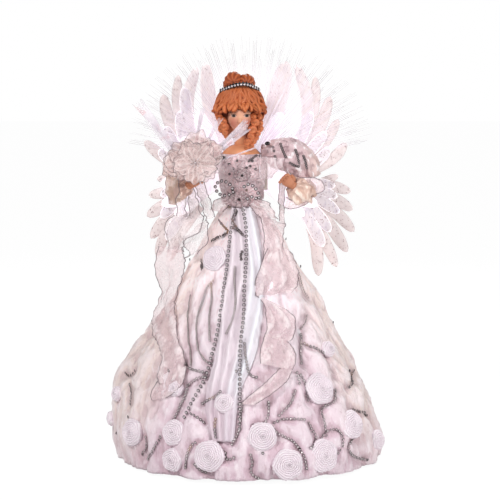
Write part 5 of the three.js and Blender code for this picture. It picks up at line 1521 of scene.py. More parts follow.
def brooch(node, sizes):
    """A medallion: rounded lace petals in two rings, a few small beads, and a dark bead at its middle."""
    px, py, half_width, half_height, stone = sizes
    name = node + "_mount"
    low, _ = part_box(node)
    middle = seen_at(px, py, max(-low.y / MM, BROOCH_LEAST_FORWARD) + 0.8)
    put(egg(middle + (0, -2.6, 0), (stone,) * 3, 12, 16), name + "_stone", STONE)

    def scalloped(way):
        return 1 + 0.08 * np.sin(5 * np.arctan2(way[..., 2], way[..., 0]))

    petals = []
    beads = []
    for count, share, size, lift in ((9, 0.72, 0.36, 0.0), (6, 0.34, 0.27, -1.0)):
        for step in range(count):
            angle = FULL_TURN * (step + share) / count
            place = middle + (half_width * share * math.cos(angle), lift,
                              half_height * share * math.sin(angle))
            shape = egg(place, (half_width * size, 1.3, half_height * size), 12, 20, scalloped)
            away = shape.points - shape.points.mean(axis=0)
            # The hollow mark darkens each petal towards its rim, as painted shade
            shape.marks["hollow"] = np.clip(np.hypot(away[:, 0], away[:, 2]) / (half_height * 0.34), 0, 1)
            petals.append(shape)
            place = place + (0.8 * math.cos(5 * angle), -1.3, 0.8 * math.sin(5 * angle))
            beads.append(egg(place, (BROOCH_BEAD,) * 3, 7, 9))
    put(beads, name + "_beads", BEAD, [node])
    put(petals, name + "_petals", PETAL_LACE)


# Loops of beads on the waist, by pixels and the distance forward
LOOP_BEAD = 1.2
LOOP_PITCH = 4.3
LOOP_ROUTES = {
    "left": ((232.0, 188.5, 29.0), (230.3, 185.6, 29.0), (227.0, 182.8, 28.5), (223.3, 181.0, 27.5),
             (219.0, 181.5, 25.5), (215.7, 184.3, 24.5), (214.7, 188.3, 24.5), (216.8, 191.8, 25.0),
             (220.0, 194.6, 26.0), (224.3, 195.5, 27.0), (229.0, 194.6, 28.0), (232.6, 192.0, 27.5)),
    "right": ((243.6, 186.6, 29.5), (247.5, 184.3, 29.5), (251.0, 185.3, 29.0), (254.0, 187.3, 28.0),
              (256.8, 191.5, 27.5), (258.2, 195.0, 27.0), (258.0, 199.4, 27.0), (254.6, 198.0, 28.0),
              (251.0, 196.8, 29.0), (247.0, 198.8, 29.5)),
}


def bead_loop(side, route):
    """A loop of beads at the waist, its two ends sewn down."""
    points = sight_line(route, 90)
    strung("beads_loop_" + side, [faced(points, up=0.1)], BEAD_TREE, BEAD, LOOP_PITCH, LOOP_BEAD, 0.2,
           ["bead_loop_" + side])
    put(tube(points, THREAD_RADIUS, 5), "thread_loop_" + side, CORD)


# The head and the hair

def bell(x, z, across, up, width, height):
    return np.exp(-((x - across) / width) ** 2 - ((z - up) / height) ** 2)


# The head's half sizes and how much narrower its jaw is
HEAD_HALVES = (11.6, 12.6, 15.2)
JAW_SHARE = 0.34
# The face's bumps and dents: height, middle across and up, reach across and up. Pairs lie on both sides.
FACE_BUMPS = ((2.7, 0, -2.4, 1.5, 3.0), (1.1, 0, -4.4, 2.3, 1.4), (0.7, 0, 6.5, 8.0, 2.6),
              (0.8, 0, MOUTH_DROP, 2.9, 1.5), (-0.5, 0, MOUTH_DROP, 2.6, 0.45), (1.5, 0, -12.2, 3.6, 2.8))
FACE_PAIRS = ((-1.1, EYE_ACROSS, EYE_RISE + 0.4, 3.2, 2.2), (0.75, EYE_ACROSS, EYE_RISE, 2.1, 1.3),
              (0.7, 6.4, -4.0, 3.6, 3.2), (0.5, 1.4, -4.0, 0.8, 0.9))
# The shoulder plate's half sizes, foot and height, and the neck's share of its width
PLATE_HALVES = (18.2, 15.4)
PLATE_FOOT = 289.3
PLATE_HEIGHT = 12.5
NECK_SHARE = 6.0 / 18.6
# The neck's middle line, and its radius at its foot and below the chin
NECK_LINE = ((lean_at(299), 0, 299), (lean_at(306), -2, 307), (lean_at(316), -4, 317))
NECK_RADII = (6.6, 5.4)


def head_and_neck():
    """The moulded head, neck and shoulder plate."""
    x, y, z = np.moveaxis(all_round(90, 120, 0.01), -1, 0)
    half_width, half_depth, half_height = HEAD_HALVES
    across = x * half_width * (1 - JAW_SHARE * np.maximum(0, -z) ** 2)
    up = z * half_height
    bumps = FACE_BUMPS + tuple((high, side * x0, *rest) for side in (-1, 1) for high, x0, *rest in FACE_PAIRS)
    rise = sum(high * bell(across - FACE_TURN, up, *place) for high, *place in bumps)
    depth = y * half_depth - np.clip(-y, 0, 1) * rise
    face = loft(np.stack([FACE_CENTRE[0] + across, FACE_CENTRE[1] + depth, FACE_CENTRE[2] + up], axis=-1))
    neck = tube(smooth_line(NECK_LINE, 14), np.linspace(*NECK_RADII, 14), 32)
    rings = []
    for share in np.linspace(0, 1, 14):
        height = PLATE_FOOT + PLATE_HEIGHT * share
        angle = angles(48)
        chest = math.sqrt(1 - share ** 2 * (1 - NECK_SHARE ** 2)) * (1 + 0.04 * np.cos(2 * angle)
                                                                     * (1 - share))
        rings.append(np.stack([lean_at(height) + PLATE_HALVES[0] * chest * np.cos(angle),
                               -1 + PLATE_HALVES[1] * chest * np.sin(angle), np.full(48, height)], axis=-1))
    plate = loft(np.array(rings))
    put([face, neck, plate], "head_and_neck", SKIN, ["head_bust"])


# The hair's round body, from the bun to the nape: height, middle across, half its width and half its depth
HAIR_ROWS = ((361.5, -9.6, 4.0, 4.0), (359.0, -9.6, 11.0, 10.0), (355.5, -9.7, 15.0, 13.2),
             (352.0, -9.7, 17.2, 15.0), (348.4, -9.5, 18.8, 16.6), (344.5, -9.4, 19.8, 17.8),
             (340.7, -9.7, 21.8, 18.8), (337.0, -9.8, 23.0, 19.4), (334.0, -9.8, 22.8, 19.2),
             (329.0, -9.8, 21.0, 17.0), (321.0, -9.6, 18.2, 14.6), (313.0, -9.3, 14.0, 12.0),
             (307.5, -9.0, 8.5, 8.0))
HAIR_BACK = 0.5
# How far the body lies inside its rows, the height of the forehead, and where the body ends below it
HAIR_INSET = 0.8
FOREHEAD_HEIGHT = 337
FACE_BACK = -6
# The bun's lobes: which way its strands wind, its middle and its half sizes
BUN_LOBES = ((-1, (-15.4, -1.0, 361.0), (8.8, 9.0, 9.6)), (1, (-3.4, -1.0, 360.0), (8.2, 8.8, 8.4)),
             (-1, (-21.0, -1.5, 358.5), (4.6, 6.0, 5.6)))
CROWN_LOCKS = 31
BACK_LOCKS = 34
FRINGE_ROLLS = 17
# How far the fringe's rolls and the crown's locks turn to either side, in degrees
FRINGE_TURN = 66
CROWN_TURN = 88
HAIR_MIDDLE = (-9.7, -1.0, 334.0)
LOCK_RADIUS = 1.75
# The height at which the locks start, on top of the crown
LOCK_START = 358.5
# The heights at which the crown's locks end and the fringe's rolls lie
CROWN_LOW = 336.0
FRINGE_LOW = 337.2
# The turn in degrees of the first lock at the back, and how much further the last one is
BACK_START = 92
BACK_SWEEP = 176
# A lock's places from the crown down: the shares of its turn and of its sway, its height and its lift
CROWN_STEPS = ((0.4, 0, LOCK_START, -0.6), (0.62, -1, 352, 0.2), (0.84, 1, 346, 0.5), (0.93, -1, 341.5, 0.3))
BACK_STEPS = ((1, 0, LOCK_START, -0.6), (1, 1, 350, 0.2), (1, -1, 341, 0.4), (1, 1, 331, 0.4),
              (1, -1, 320, 0.2), (1, 0, 309, -0.4))


def lock(path, radius, sides=10, taper=(0.55, 0.25), rolls=0.0):
    """A lock of hair: a bar that swells in its middle. Its ridge mark, which sets the hair's painted
    highlight and painted shade, is high on its outer side.
    """
    path = smooth_line(path, 6 * len(path))
    share = np.linspace(0, 1, len(path))
    start, end = taper
    swell = np.minimum(1, start + (1 - start) * share / 0.3)
    swell = swell * np.minimum(1, end + (1 - end) * (1 - share) / 0.3)
    if rolls:
        swell = swell * (0.85 + 0.15 * np.abs(np.sin(math.pi * rolls * share)))
    shape = tube(path, radius * swell, sides)
    spine = np.repeat(path[:, :3], sides, axis=0)
    outward = np.sum(unit(shape.points - spine) * unit(spine - vector(*HAIR_MIDDLE)), axis=1)
    shape.marks["ridge"] = np.clip(0.35 + 0.65 * outward, 0, 1)
    return shape


def on_scalp(turn, height, lift=0.0):
    """A point on the hair's round body: turn from the front in degrees, and height."""
    rows = np.array(HAIR_ROWS)[::-1]
    across, width, depth = (np.interp(height, rows[:, 0], rows[:, column]) for column in (1, 2, 3))
    angle = math.radians(turn)
    across = across + (width + lift) * math.sin(angle)
    return vector(across, HAIR_BACK - (depth + lift) * math.cos(angle), height)


# Round curls beside the face: place in pixels, radius and how far forward
CURLS = (
    (252.8, 116.5, 3.2, 13.0), (258.4, 116.8, 3.2, 9.0), (254.6, 122.3, 4.0, 13.0), (259.6, 123.2, 3.1, 8.5),
    (259.4, 128.6, 3.4, 8.5), (252.2, 129.6, 4.0, 13.5), (256.8, 132.8, 3.3, 11.0),
    (250.6, 136.0, 3.5, 13.5), (252.4, 141.0, 3.5, 12.5), (247.4, 142.2, 3.4, 14.0),
    (250.6, 146.0, 3.1, 14.0), (246.2, 147.2, 2.6, 15.0), (255.6, 138.0, 2.6, 10.5),
    (219.2, 117.2, 3.2, 9.5), (222.6, 121.6, 3.9, 12.0), (219.8, 124.6, 2.8, 9.0), (224.2, 127.0, 3.8, 12.5),
    (220.9, 129.4, 3.2, 10.5), (224.4, 132.6, 3.0, 12.5), (225.6, 136.2, 2.1, 12.5),
)
# Flicks and rolls that stand out from the crown: root, middle and tip in pixels, forward and radius
FLICKS = (
    ((222, 106), (216, 109.5), (211.2, 111.5), 8.0, 2.3),
    ((222, 109), (217.5, 112.5), (215.5, 114.6), 9.0, 2.3),
    ((226, 108), (221, 111.6), (219.5, 113.5), 13.0, 2.0),
    ((257, 102), (262, 105.5), (266.2, 108.2), 8.0, 2.5),
    ((255, 107), (260, 110), (264, 110.8), 9.0, 2.3), ((250, 107.5), (255, 111.2), (257.5, 113.6), 13.0, 2.2),
    ((254, 91), (258.5, 94), (259.6, 97), 8.0, 2.3), ((257, 98), (261, 100.5), (262.8, 103.5), 8.0, 2.1),
    ((222, 97), (218.5, 101), (216, 104.5), 8.0, 2.2),
)


def curl(px, py, radius, forward, seed):
    """A round curl: a ball with grooves that wind over it."""
    centre = seen_at(px, py, forward)

    def wound(directions):
        around = np.arctan2(directions[..., 2], directions[..., 0])
        return 1 + 0.09 * np.sin(2 * around + 6 * directions[..., 1] + 1.7 * seed)

    ball = egg(centre, (radius, radius, radius * 1.02), 20, 28, wound)
    away = unit(ball.points - centre)
    around = np.arctan2(away[:, 2], away[:, 0])
    groove = 0.5 + 0.5 * np.sin(2 * around + 6 * away[:, 1] + 1.7 * seed)
    outward = away @ unit(centre - vector(*HAIR_MIDDLE))
    ball.marks["ridge"] = np.clip(0.3 + 0.4 * groove + 0.35 * outward, 0, 1)
    ball.marks["around"] = around / FULL_TURN
    return ball


def hair_body():
    """The hair's round body, which ends behind the face."""
    angle = angles(44)
    rings = []
    for height, across, width, depth in HAIR_ROWS:
        ring = np.stack([across + (width - HAIR_INSET) * np.sin(angle),
                         HAIR_BACK - (depth - HAIR_INSET) * np.cos(angle), np.full(44, height)], axis=-1)
        if height < FOREHEAD_HEIGHT:
            ring[:, 1] = np.maximum(ring[:, 1], FACE_BACK)
        rings.append(ring)
    body = loft(np.array(rings))
    # The body's low ridge mark paints it dark, as shade between the locks
    body.marks["ridge"] = np.full(len(body.points), 0.15)
    return body


def down_scalp(steps, turn, sway):
    """Places from the crown down, swaying to either side."""
    return [on_scalp(turn * share + sway * way, height, lift) for share, way, height, lift in steps]


def crown_lock(number):
    """A lock combed from the crown to the fringe."""
    spread = -1 + 2 * number / (CROWN_LOCKS - 1)
    turn = CROWN_TURN * spread
    sway = 3.6 * math.sin(number * 2.3)
    low = CROWN_LOW + 1.8 * math.sin(number * 1.9) - 5.5 * max(0, abs(spread) - 0.45)
    path = down_scalp(CROWN_STEPS, turn, sway)
    path += [on_scalp(turn + sway, (341 + low) / 2, 0.9), on_scalp(turn * 1.04 - 0.5 * sway, low, 1.2)]
    return lock(path, LOCK_RADIUS * (1.15 + 0.3 * math.sin(number * 3.1)), taper=(0.5, 0.6))


def fringe_roll(number):
    """A short roll of the fringe, over the forehead."""
    spread = -1 + 2 * number / (FRINGE_ROLLS - 1)
    turn = FRINGE_TURN * spread
    low = FRINGE_LOW + 1.1 * math.sin(number * 2.6) - 3.0 * spread ** 2
    lean = 5 * math.sin(number * 1.7) + 4 * spread
    path = [on_scalp(turn - lean, low + 4.5, 0.6), on_scalp(turn, low + 1.4, 2.3),
            on_scalp(turn + lean, low - 1.2, 2.6), on_scalp(turn + 1.6 * lean, low - 2.2, 1.0)]
    return lock(path, 2.1 + 0.4 * math.sin(number * 2.1), taper=(0.6, 0.75))


def back_lock(number):
    """A rolled lock down the back of the head."""
    turn = BACK_START + BACK_SWEEP * number / (BACK_LOCKS - 1)
    path = down_scalp(BACK_STEPS, turn, 3 * math.sin(number * 2.1))
    return lock(path, LOCK_RADIUS * 1.25, rolls=3.0, taper=(0.5, 0.5))


def bun_lobe(side, centre, halves):
    """One lobe of the bun, with strands that wind round it."""

    def strands(directions):
        swirl = np.arctan2(directions[..., 0], directions[..., 2]) * 9 + side * 5 * directions[..., 1]
        return 1 + 0.045 * np.sin(swirl) + 0.02 * np.sin(2.3 * swirl)

    lobe = egg(centre, halves, 36, 54, strands)
    offset = lobe.points - vector(*centre)
    around = np.arctan2(offset[:, 0], offset[:, 2])
    lobe.marks["ridge"] = 0.45 + 0.45 * np.sin(around * 9 + side * 5 * offset[:, 1] / halves[1])
    lobe.marks["around"] = around / FULL_TURN
    return lobe


def flick(root, middle, tip, forward, radius):
    """A flick or roll that stands out from the crown."""
    path = [seen_at(*root, forward - 1.5), seen_at(*middle, forward + 0.8), seen_at(*tip, forward)]
    return lock(path, radius, taper=(0.7, 0.45))


def hair():
    """The moulded hair: a combed crown with a fringe, a bun of two rolls, and round curls at the cheeks."""
    parts = [hair_body()]
    for make, count in ((crown_lock, CROWN_LOCKS), (fringe_roll, FRINGE_ROLLS), (back_lock, BACK_LOCKS)):
        parts += [make(number) for number in range(count)]
    parts += [bun_lobe(*lobe) for lobe in BUN_LOBES]
    parts += [curl(*sizes, seed) for seed, sizes in enumerate(CURLS)]
    parts += [flick(*sizes) for sizes in FLICKS]
    put(parts, "hair", HAIR, ["hair_cap"])


# The tiara's chain, in pixels and how far forward
TIARA_ROUTE = ((219.9, 91.2, 6.0), (225.0, 89.0, 10.5), (232.0, 86.2, 14.5), (240.0, 84.5, 16.5),
               (247.0, 84.8, 15.5), (253.0, 87.2, 11.5), (258.2, 89.8, 6.5))
TIARA_STONE = 1.3
TIARA_DARK_STONE = 0.8
TIARA_PITCH = 3.0
# The band's two wires: how far the stones' line lies from each, and their radii
UPPER_WIRE_RISE = 1.5
LOWER_WIRE_DROP = 1.1
UPPER_WIRE_RADIUS = 0.25
LOWER_WIRE_RADIUS = 0.35


def tiara():
    """Bright stones in an arch over the crown, a small dark one set above each, on a thin band."""
    points = sight_line(TIARA_ROUTE, 60)
    out = facing_out(points, (HAIR_MIDDLE[0], 0))
    strung("tiara_stones", [(points + out * 0.4, out)], BEAD_TREE, BEAD, TIARA_PITCH, TIARA_STONE,
           stands_for=["tiara"])
    above = smooth_line(points + (0, 0, UPPER_WIRE_RISE), 60)
    strung("tiara_dark_stones", [(above, out)], BEAD_TREE, STONE, TIARA_PITCH, TIARA_DARK_STONE)
    below = points + (0, 0, -LOWER_WIRE_DROP)
    wires = [tube(below, LOWER_WIRE_RADIUS, 6), tube(above, UPPER_WIRE_RADIUS, 5)]
    put(wires, "tiara_band", STONE)


# Sleeves, cuffs and hands; "out" is the distance to either side of the figure's own middle
ARM_MIDDLE = lean_at(296.0)
SLEEVE_PATH = ((20.0, 1.0, 291.5), (42.0, -1.7, 292.5), (58.0, -7.4, 283.5), (65.0, -10.4, 269.0))
SLEEVE_RADII = (8.5, 15.5, 15.8, 10.5)
FOREARM_START = (64.0, -17.0, 254.5)
FOREARM_END = (49.5, -29.0, 264.5)
PUFF_COLUMNS = 96
CUFF_RADII = {-1: (7.5, 8.0, 5.6), 1: (9.0, 13.6, 7.6)}


def at_side(side, place):
    return vector(ARM_MIDDLE + side * place[0], place[1], place[2])


def puff(places, radii, gathers, seed, rows=44, depth=0.09, crumpled=1.0):
    """A puffed sleeve of cloth: drawn in at both ends, its gathers deepest there."""
    line = smooth_line(places, rows)
    share = np.linspace(0, 1, rows)
    radius = np.interp(share, np.linspace(0, 1, len(radii)), radii)
    radius = np.convolve(np.pad(radius, 3, mode="edge"), np.ones(7) / 7, mode="valid")
    ahead = unit(np.gradient(line, axis=0))
    side = unit(np.cross(ahead, (0, 1, 0)))
    other = np.cross(ahead, side)
    angle = angles(PUFF_COLUMNS)
    ends = 0.35 + 0.65 * np.abs(2 * share - 1) ** 1.5
    folds = 1 + depth * ends[:, None] * np.sin(gathers * angle + 2 * np.sin(3 * share[:, None] + seed))
    ring = np.cos(angle)[None, :, None] * side[:, None] + np.sin(angle)[None, :, None] * other[:, None]
    points = line[:, None] + ring * (radius[:, None] * folds)[..., None]
    crumple = 0.9 * roughness_of(points, 7.0, seed, sharp=True) + 0.7 * roughness_of(points, 11.0, seed + 1)
    points = points + ring * (crumpled * crumple)[..., None]
    return loft(points)


# Strings of sequins on the right sleeve, in pixels; the left sleeve has them turned about the mirror column
SLEEVE_SEQUINS = (
    ((280.0, 144.0), (281.6, 149.0), (283.5, 153.0), (285.0, 156.5)),
    ((295.0, 150.0), (297.0, 155.5), (298.5, 163.0)),
    ((303.0, 156.0), (305.0, 162.0), (306.0, 168.0)), ((289.5, 163.0), (293.0, 165.0), (298.0, 166.5)),
    ((274.5, 156.5), (276.4, 160.5)), ((272.5, 147.0), (273.5, 151.0)),
)
MIRROR_COLUMN = 239.0
SLEEVE_SEQUIN_RADIUS = 1.25
SLEEVE_SEQUIN_STEP = 2.1


def sleeves():
    """The puffed sleeves, with short strings of sequins sewn across them."""
    for name, side in SIDES:
        places = [at_side(side, place) for place in SLEEVE_PATH]
        shape = puff(places, SLEEVE_RADII, 9, 11 + side)
        put(shape, "sleeve_cloth_" + name, SLEEVE, ["sleeve_" + name])
        strings = []
        for route in SLEEVE_SEQUINS:
            sights = [(px if side > 0 else 2 * MIRROR_COLUMN - px, py) for px, py in route]
            strings.append(faced(smooth_line(landed(shape, sights, 1.3), 16), 0.2 * side))
        strung("sequins_sleeve_" + name, strings, SEQUIN_TREE, DARK_SEQUIN, SLEEVE_SEQUIN_STEP,
               SLEEVE_SEQUIN_RADIUS, 0.3)


def cuffs():
    """Satin cuffs round the forearms."""
    for name, side in SIDES:
        start, end = at_side(side, FOREARM_START), at_side(side, FOREARM_END)
        places = [start + (0, 0.5, 0), (start + end) / 2 + (0, 0, -0.6), end]
        shape = puff(places, CUFF_RADII[side], 7, 21 + side, 36, 0.24, 0.45)
        put(shape, "cuff_cloth_" + name, CUFF, ["cuff_" + name])


# The hands. The palm's rings are a share of its length, half its width and half its thickness.
WRIST_RADIUS = 3.9
PALM_LENGTH = 7.0
PALM_RINGS = ((-0.3, 3.6, 3.0), (0.1, 4.6, 3.2), (0.5, 5.4, 3.2), (1.0, 5.5, 2.9), (1.15, 4.6, 2.2))
FINGER_RADIUS = 1.65
FINGER_LENGTH = 6.6
FINGER_PITCH = 2.7
THUMB_RADIUS = 1.6


def hands():
    """Moulded hands: a wrist, a palm and four bent fingers held together, with the thumb above them."""
    for name, side in SIDES:
        start, end = at_side(side, FOREARM_START), at_side(side, FOREARM_END)
        along = unit(vector(-0.72 * side, -0.3, 0.62))
        across = unit(vector(0.62 * side, 0.0, 0.72))
        depth = np.cross(along, across)
        wrist = end + along * 2.0
        parts = [tube(smooth_line([start, (start + end) / 2, end, wrist], 10), WRIST_RADIUS, 20)]
        rings = []
        for share, width, thick in PALM_RINGS:
            angle = angles(20)
            rings.append(wrist + along * PALM_LENGTH * share + np.outer(np.cos(angle) * thick, depth)
                         + np.outer(np.sin(angle) * width, across))
        parts.append(loft(np.array(rings)))
        for place in (-1.5, -0.5, 0.5, 1.5):
            root = wrist + along * 6.4 + across * place * FINGER_PITCH
            reach = FINGER_LENGTH - abs(place) * 0.5
            tip = root + along * reach * 0.8 - across * 2.4 + vector(0, -1.5, 0)
            line = smooth_line([root, root + along * reach * 0.6 + across * 0.2, tip], 9)
            parts.append(tube(line, FINGER_RADIUS * np.linspace(1.05, 0.75, 9), 10))
        thumb = wrist + across * 4.0 + along
        line = smooth_line([thumb, thumb + across * 2.0 + along * 2.6, thumb + across * 2.2 + along * 5.6], 8)
        parts.append(tube(line, THUMB_RADIUS * np.linspace(1.2, 0.8, 8), 10))
        put(parts, "hand_moulded_" + name, HAND, ["hand_" + name])


# The bloom
BLOOM_CENTRE = (lean_at(288.0) - 42.5, -50.0, 288.0)
BLOOM_THICKNESS = 0.35
BLOOM_WIRE_RADIUS = WIRE_RADIUS * 0.6
# Each petal's turn in degrees, length, width, dish, seed and how far its tip rolls back
FRONT_PETALS = ((-93, 19.5, 20, 5, 1, 0.0), (-14, 20, 21, 6, 2, 0.1), (52, 21, 20, 5, 3, 0.0),
                (116, 22, 22, 7, 4, 0.55), (190, 20, 21, 6, 5, 0.1))
BACK_PETALS = ((30, 28, 24, 2.5, 6, 0.1), (82, 29, 25, 2.0, 7, 0.0), (148, 27, 24, 2.5, 8, 0.2),
               (186, 30, 25, 2.0, 9, 0.0), (222, 22, 22, 2.0, 10, 0.1), (-38, 22, 20, 2.0, 11, 0.0))
# The bead at its heart, and the stamens round it with a small ball on each
HEART_RADIUS = 1.0
STAMEN_COUNT = 7
STAMEN_REACH = 4.2
STAMEN_RADIUS = 0.25
STAMEN_BALL_RADIUS = 0.6
# Wires that curl loose between the petals, in pixels
BLOOM_WIRES_FORWARD = 61.0
BLOOM_WIRES = (
    ((184, 141), (183.5, 144), (185.5, 146), (190, 146.5), (194, 146)),
    ((191, 145), (194, 143), (197, 142.3), (199, 144), (202, 146)), ((184, 138), (187, 139.5), (189, 139.5)),
    ((207, 149.5), (209, 152), (210, 155)), ((209.5, 148), (209, 145), (211, 142)),
    ((199, 175.5), (203, 173), (206, 171.5), (208, 172), (206, 174)), ((170, 145), (171, 147), (173, 152)),
    ((164.5, 152), (165.5, 156), (164, 163), (166, 167), (170, 172), (176, 172.5)),
    ((185.5, 171), (184, 173), (182, 173)),
)


def petal(centre, turn, length, width, dish, seed, roll):
    """One organza petal with a crinkled face and the wire in its edge."""
    angle = math.radians(turn)
    rows, columns = 22, 29
    out, across = np.meshgrid(np.linspace(0.04, 1, rows), np.linspace(-1, 1, columns), indexing="ij")
    spread = np.sin(math.pi * np.clip(0.12 + 0.62 * out, 0, 1)) ** 0.8
    reach = length * out * (1 - 0.16 * across ** 2 * out)
    sideways = across * spread * width / 2
    forward = dish * out ** 1.6 + 0.22 * dish * across ** 2 * out + roll * np.clip(out - 0.7, 0, 1) ** 2 * 22
    forward = forward + 0.54 * out * np.sin(9 * across + seed * 2.1)
    forward = forward + 0.7 * out * np.sin(5 * across - seed)
    reach = reach - roll * np.clip(out - 0.75, 0, 1) ** 2 * length * 1.2
    reach = reach + 0.05 * length * out ** 3 * np.sin(6 * across + seed * 1.3)
    points = np.stack([reach * math.cos(angle) - sideways * math.sin(angle), -forward,
                       reach * math.sin(angle) + sideways * math.cos(angle)], axis=-1) + centre
    points = points + roughness_of(points, 7.0, seed)[..., None] * (1.2, 2.2, 1.2)
    face = cloth(points, BLOOM_THICKNESS, around=across)
    rim = np.vstack([points[4:, 0], points[-1, 1:-1], points[4:, -1][::-1]])
    return face, tube(smooth_line(rim, 60), BLOOM_WIRE_RADIUS, 5)


def bloom():
    """Two rings of petals, with a bead and a few bright stamens at the heart."""
    heart = vector(*BLOOM_CENTRE)
    for name, node, rows, back, size in (("bloom_front", "flower_front", FRONT_PETALS, 0.0, 0.054),
                                         ("bloom_back", "flower_back", BACK_PETALS, 4.5, 0.066)):
        petals = [petal(heart + (0, back, 0), *row) for row in rows]
        piece = put([face for face, _ in petals], name + "_petals", BLOOM, [node])
        wires = put([rim for _, rim in petals], name + "_wires", WIRE)
    loose = [tube(sight_line(route, 30, BLOOM_WIRES_FORWARD), BLOOM_WIRE_RADIUS, 5) for route in BLOOM_WIRES]
    put(loose, "bloom_loose_wires", WIRE)
    stamens = [egg(heart + (0, -3.2, 0), (HEART_RADIUS,) * 3, 10, 14)]
    for angle in angles(STAMEN_COUNT):
        tip = heart + (STAMEN_REACH * math.cos(angle), -3.6, STAMEN_REACH * math.sin(angle))
        line = smooth_line([heart, (heart + tip) / 2 + (0, -1.2, 0), tip], 8)
        stamens.append(tube(line, STAMEN_RADIUS, 5))
        stamens.append(egg(tip, (STAMEN_BALL_RADIUS,) * 3, 6, 8))
    put(stamens, "bloom_stamens", BEAD)


# The wings, drawn by pixels of the photograph: each feather's root, middle and tip, and its width in pixels
OUTER_BACK = 41.5
INNER_BACK = 38.4
COVERT_BACK = 35.6
FEATHER_THICKNESS = 0.4
FEATHER_GRID = (28, 9)
RIGHT_PLUMES = (((268, 160), (275, 108), (286, 61), 21.0), ((301, 160), (307, 104), (296, 64), 12.5))
RIGHT_OUTER_FEATHERS = (
    ((304, 152), (314, 105), (315, 76.3), 10.5), ((306, 158), (321, 124), (329.8, 96.2), 12.0),
    ((306, 166), (327, 139), (338, 119), 10.5), ((306, 174), (332, 159), (346, 143), 11.5),
    ((300, 186), (322, 182), (337.8, 175.5), 9.0), ((300, 184), (330, 186), (350.2, 191.8), 11.5),
    ((300, 188), (332, 198), (352.2, 210.2), 12.0), ((300, 192), (332, 210), (353.8, 231.7), 12.5),
    ((302, 198), (327, 222), (347, 252.2), 12.5), ((304, 204), (322, 236), (336.4, 267.2), 11.0),
    ((303, 204), (315, 240), (318.2, 276.2), 12.5),
)
RIGHT_INNER_FEATHERS = (
    ((290, 162), (303, 131), (311, 111.3), 13.5), ((294, 168), (313, 147), (325.8, 131.3), 12.0),
    ((296, 174), (318, 160), (329.8, 147), 11.0), ((294, 180), (318, 183), (335, 186), 10.0),
    ((294, 184), (318, 190), (337, 197), 11.0), ((294, 188), (320, 200), (339, 213), 12.0),
    ((296, 194), (317, 214), (330, 232), 12.0), ((298, 198), (311, 224), (323, 247), 13.0),
)
LEFT_PLUMES = (((226, 160), (210, 108), (205, 62), 15.0), ((197, 160), (187, 104), (196.5, 66.5), 12.5))
LEFT_OUTER_FEATHERS = (
    ((185, 154), (177, 104), (177.8, 75), 11.0), ((184, 156), (168, 119), (162.6, 94.2), 12.5),
    ((190, 170), (164, 158), (143.8, 141), 11.5), ((192, 180), (172, 179), (156.4, 179), 8.5),
    ((194, 186), (168, 192), (148.2, 195.3), 11.5), ((194, 190), (168, 203), (146.4, 216.4), 13.0),
    ((194, 196), (168, 216), (150.2, 238.4), 12.5), ((196, 202), (168, 230), (155.8, 256.2), 11.5),
    ((200, 206), (178, 236), (168, 262), 11.0),
)
LEFT_INNER_FEATHERS = (
    ((202, 160), (188, 120), (183.5, 86), 13.0), ((194, 162), (182, 132), (179.3, 110.5), 12.5),
    ((192, 166), (174, 144), (165, 126), 12.0), ((194, 174), (172, 162), (158, 150), 11.5),
    ((196, 182), (176, 188), (160, 196), 11.0), ((198, 188), (176, 202), (160, 218), 12.0),
    ((200, 194), (180, 216), (166, 240), 12.5),
)
# The right side's short feathers nearest the body; the left side has them turned about this pixel column
COVERTS = (
    ((258, 172), (268, 142), (281, 112), 17.0), ((258, 172), (276, 158), (297, 138), 17.0),
    ((258, 174), (282, 170), (310, 160), 17.0), ((258, 178), (284, 182), (318, 184), 17.0),
    ((260, 182), (284, 192), (317, 205), 15.0), ((262, 184), (282, 198), (304, 216), 12.0),
)
FLECKS = 26


def feather(places, width, back, row):
    """One feather cut from film, from its root to its blunt point: a little bowed, its rim marked for the
    film's painted glow.
    """
    rows, columns = FEATHER_GRID
    spine = sight_line(places, rows, -back)
    share, across = np.meshgrid(np.linspace(0, 1, rows), np.linspace(-1, 1, columns), indexing="ij")
    body = 0.82 + 0.18 * np.sin(math.pi / 2 * np.clip(share / 0.6, 0, 1))
    tip = np.sqrt(np.clip(1 - (np.clip(share - 0.68, 0, 1) / 0.32) ** 2.2, 0, 1))
    half = width * PIXEL / 2 * body * np.maximum(tip, 0.03)
    sideways = unit(np.cross(unit(np.gradient(spine, axis=0)), (0, 1, 0)))
    points = spine[:, None] + sideways[:, None] * (across * half)[..., None]
    points[..., 1] += 1.4 * across ** 2 * tip - 1.2 * np.sin(math.pi * share)
    edge = np.maximum(np.abs(across) ** 3, np.clip((share - 0.9) / 0.1, 0, 1))
    return cloth(points, FEATHER_THICKNESS, edge=edge, row=np.full_like(edge, row))


def feather_row(feathers, back, row):
    return [feather(places, width, back - 0.12 * number, row)
            for number, (*places, width) in enumerate(feathers)]


def glitter(feathers, seed):
    """Flecks of foil, scattered over the outer parts of feathers."""
    rng = np.random.default_rng(seed)
    flecks = []
    corner = angles(5)
    for shape in feathers:
        grid = shape.points[:math.prod(FEATHER_GRID)].reshape(*FEATHER_GRID, 3)
        for _ in range(FLECKS):
            centre = grid[rng.integers(11, 26), rng.integers(1, 8)] + rng.uniform(-0.8, 0.8, 3) * (1, 0, 1)
            size = rng.uniform(0.25, 0.5)
            rim = np.stack([np.cos(corner) * size, np.zeros(5), np.sin(corner) * size], axis=-1)
            flecks.append(loft(np.stack([centre + rim - (0, 0.5, 0), centre + rim * 0.9 - (0, 0.3, 0)])))
    return Shape.joined(flecks)


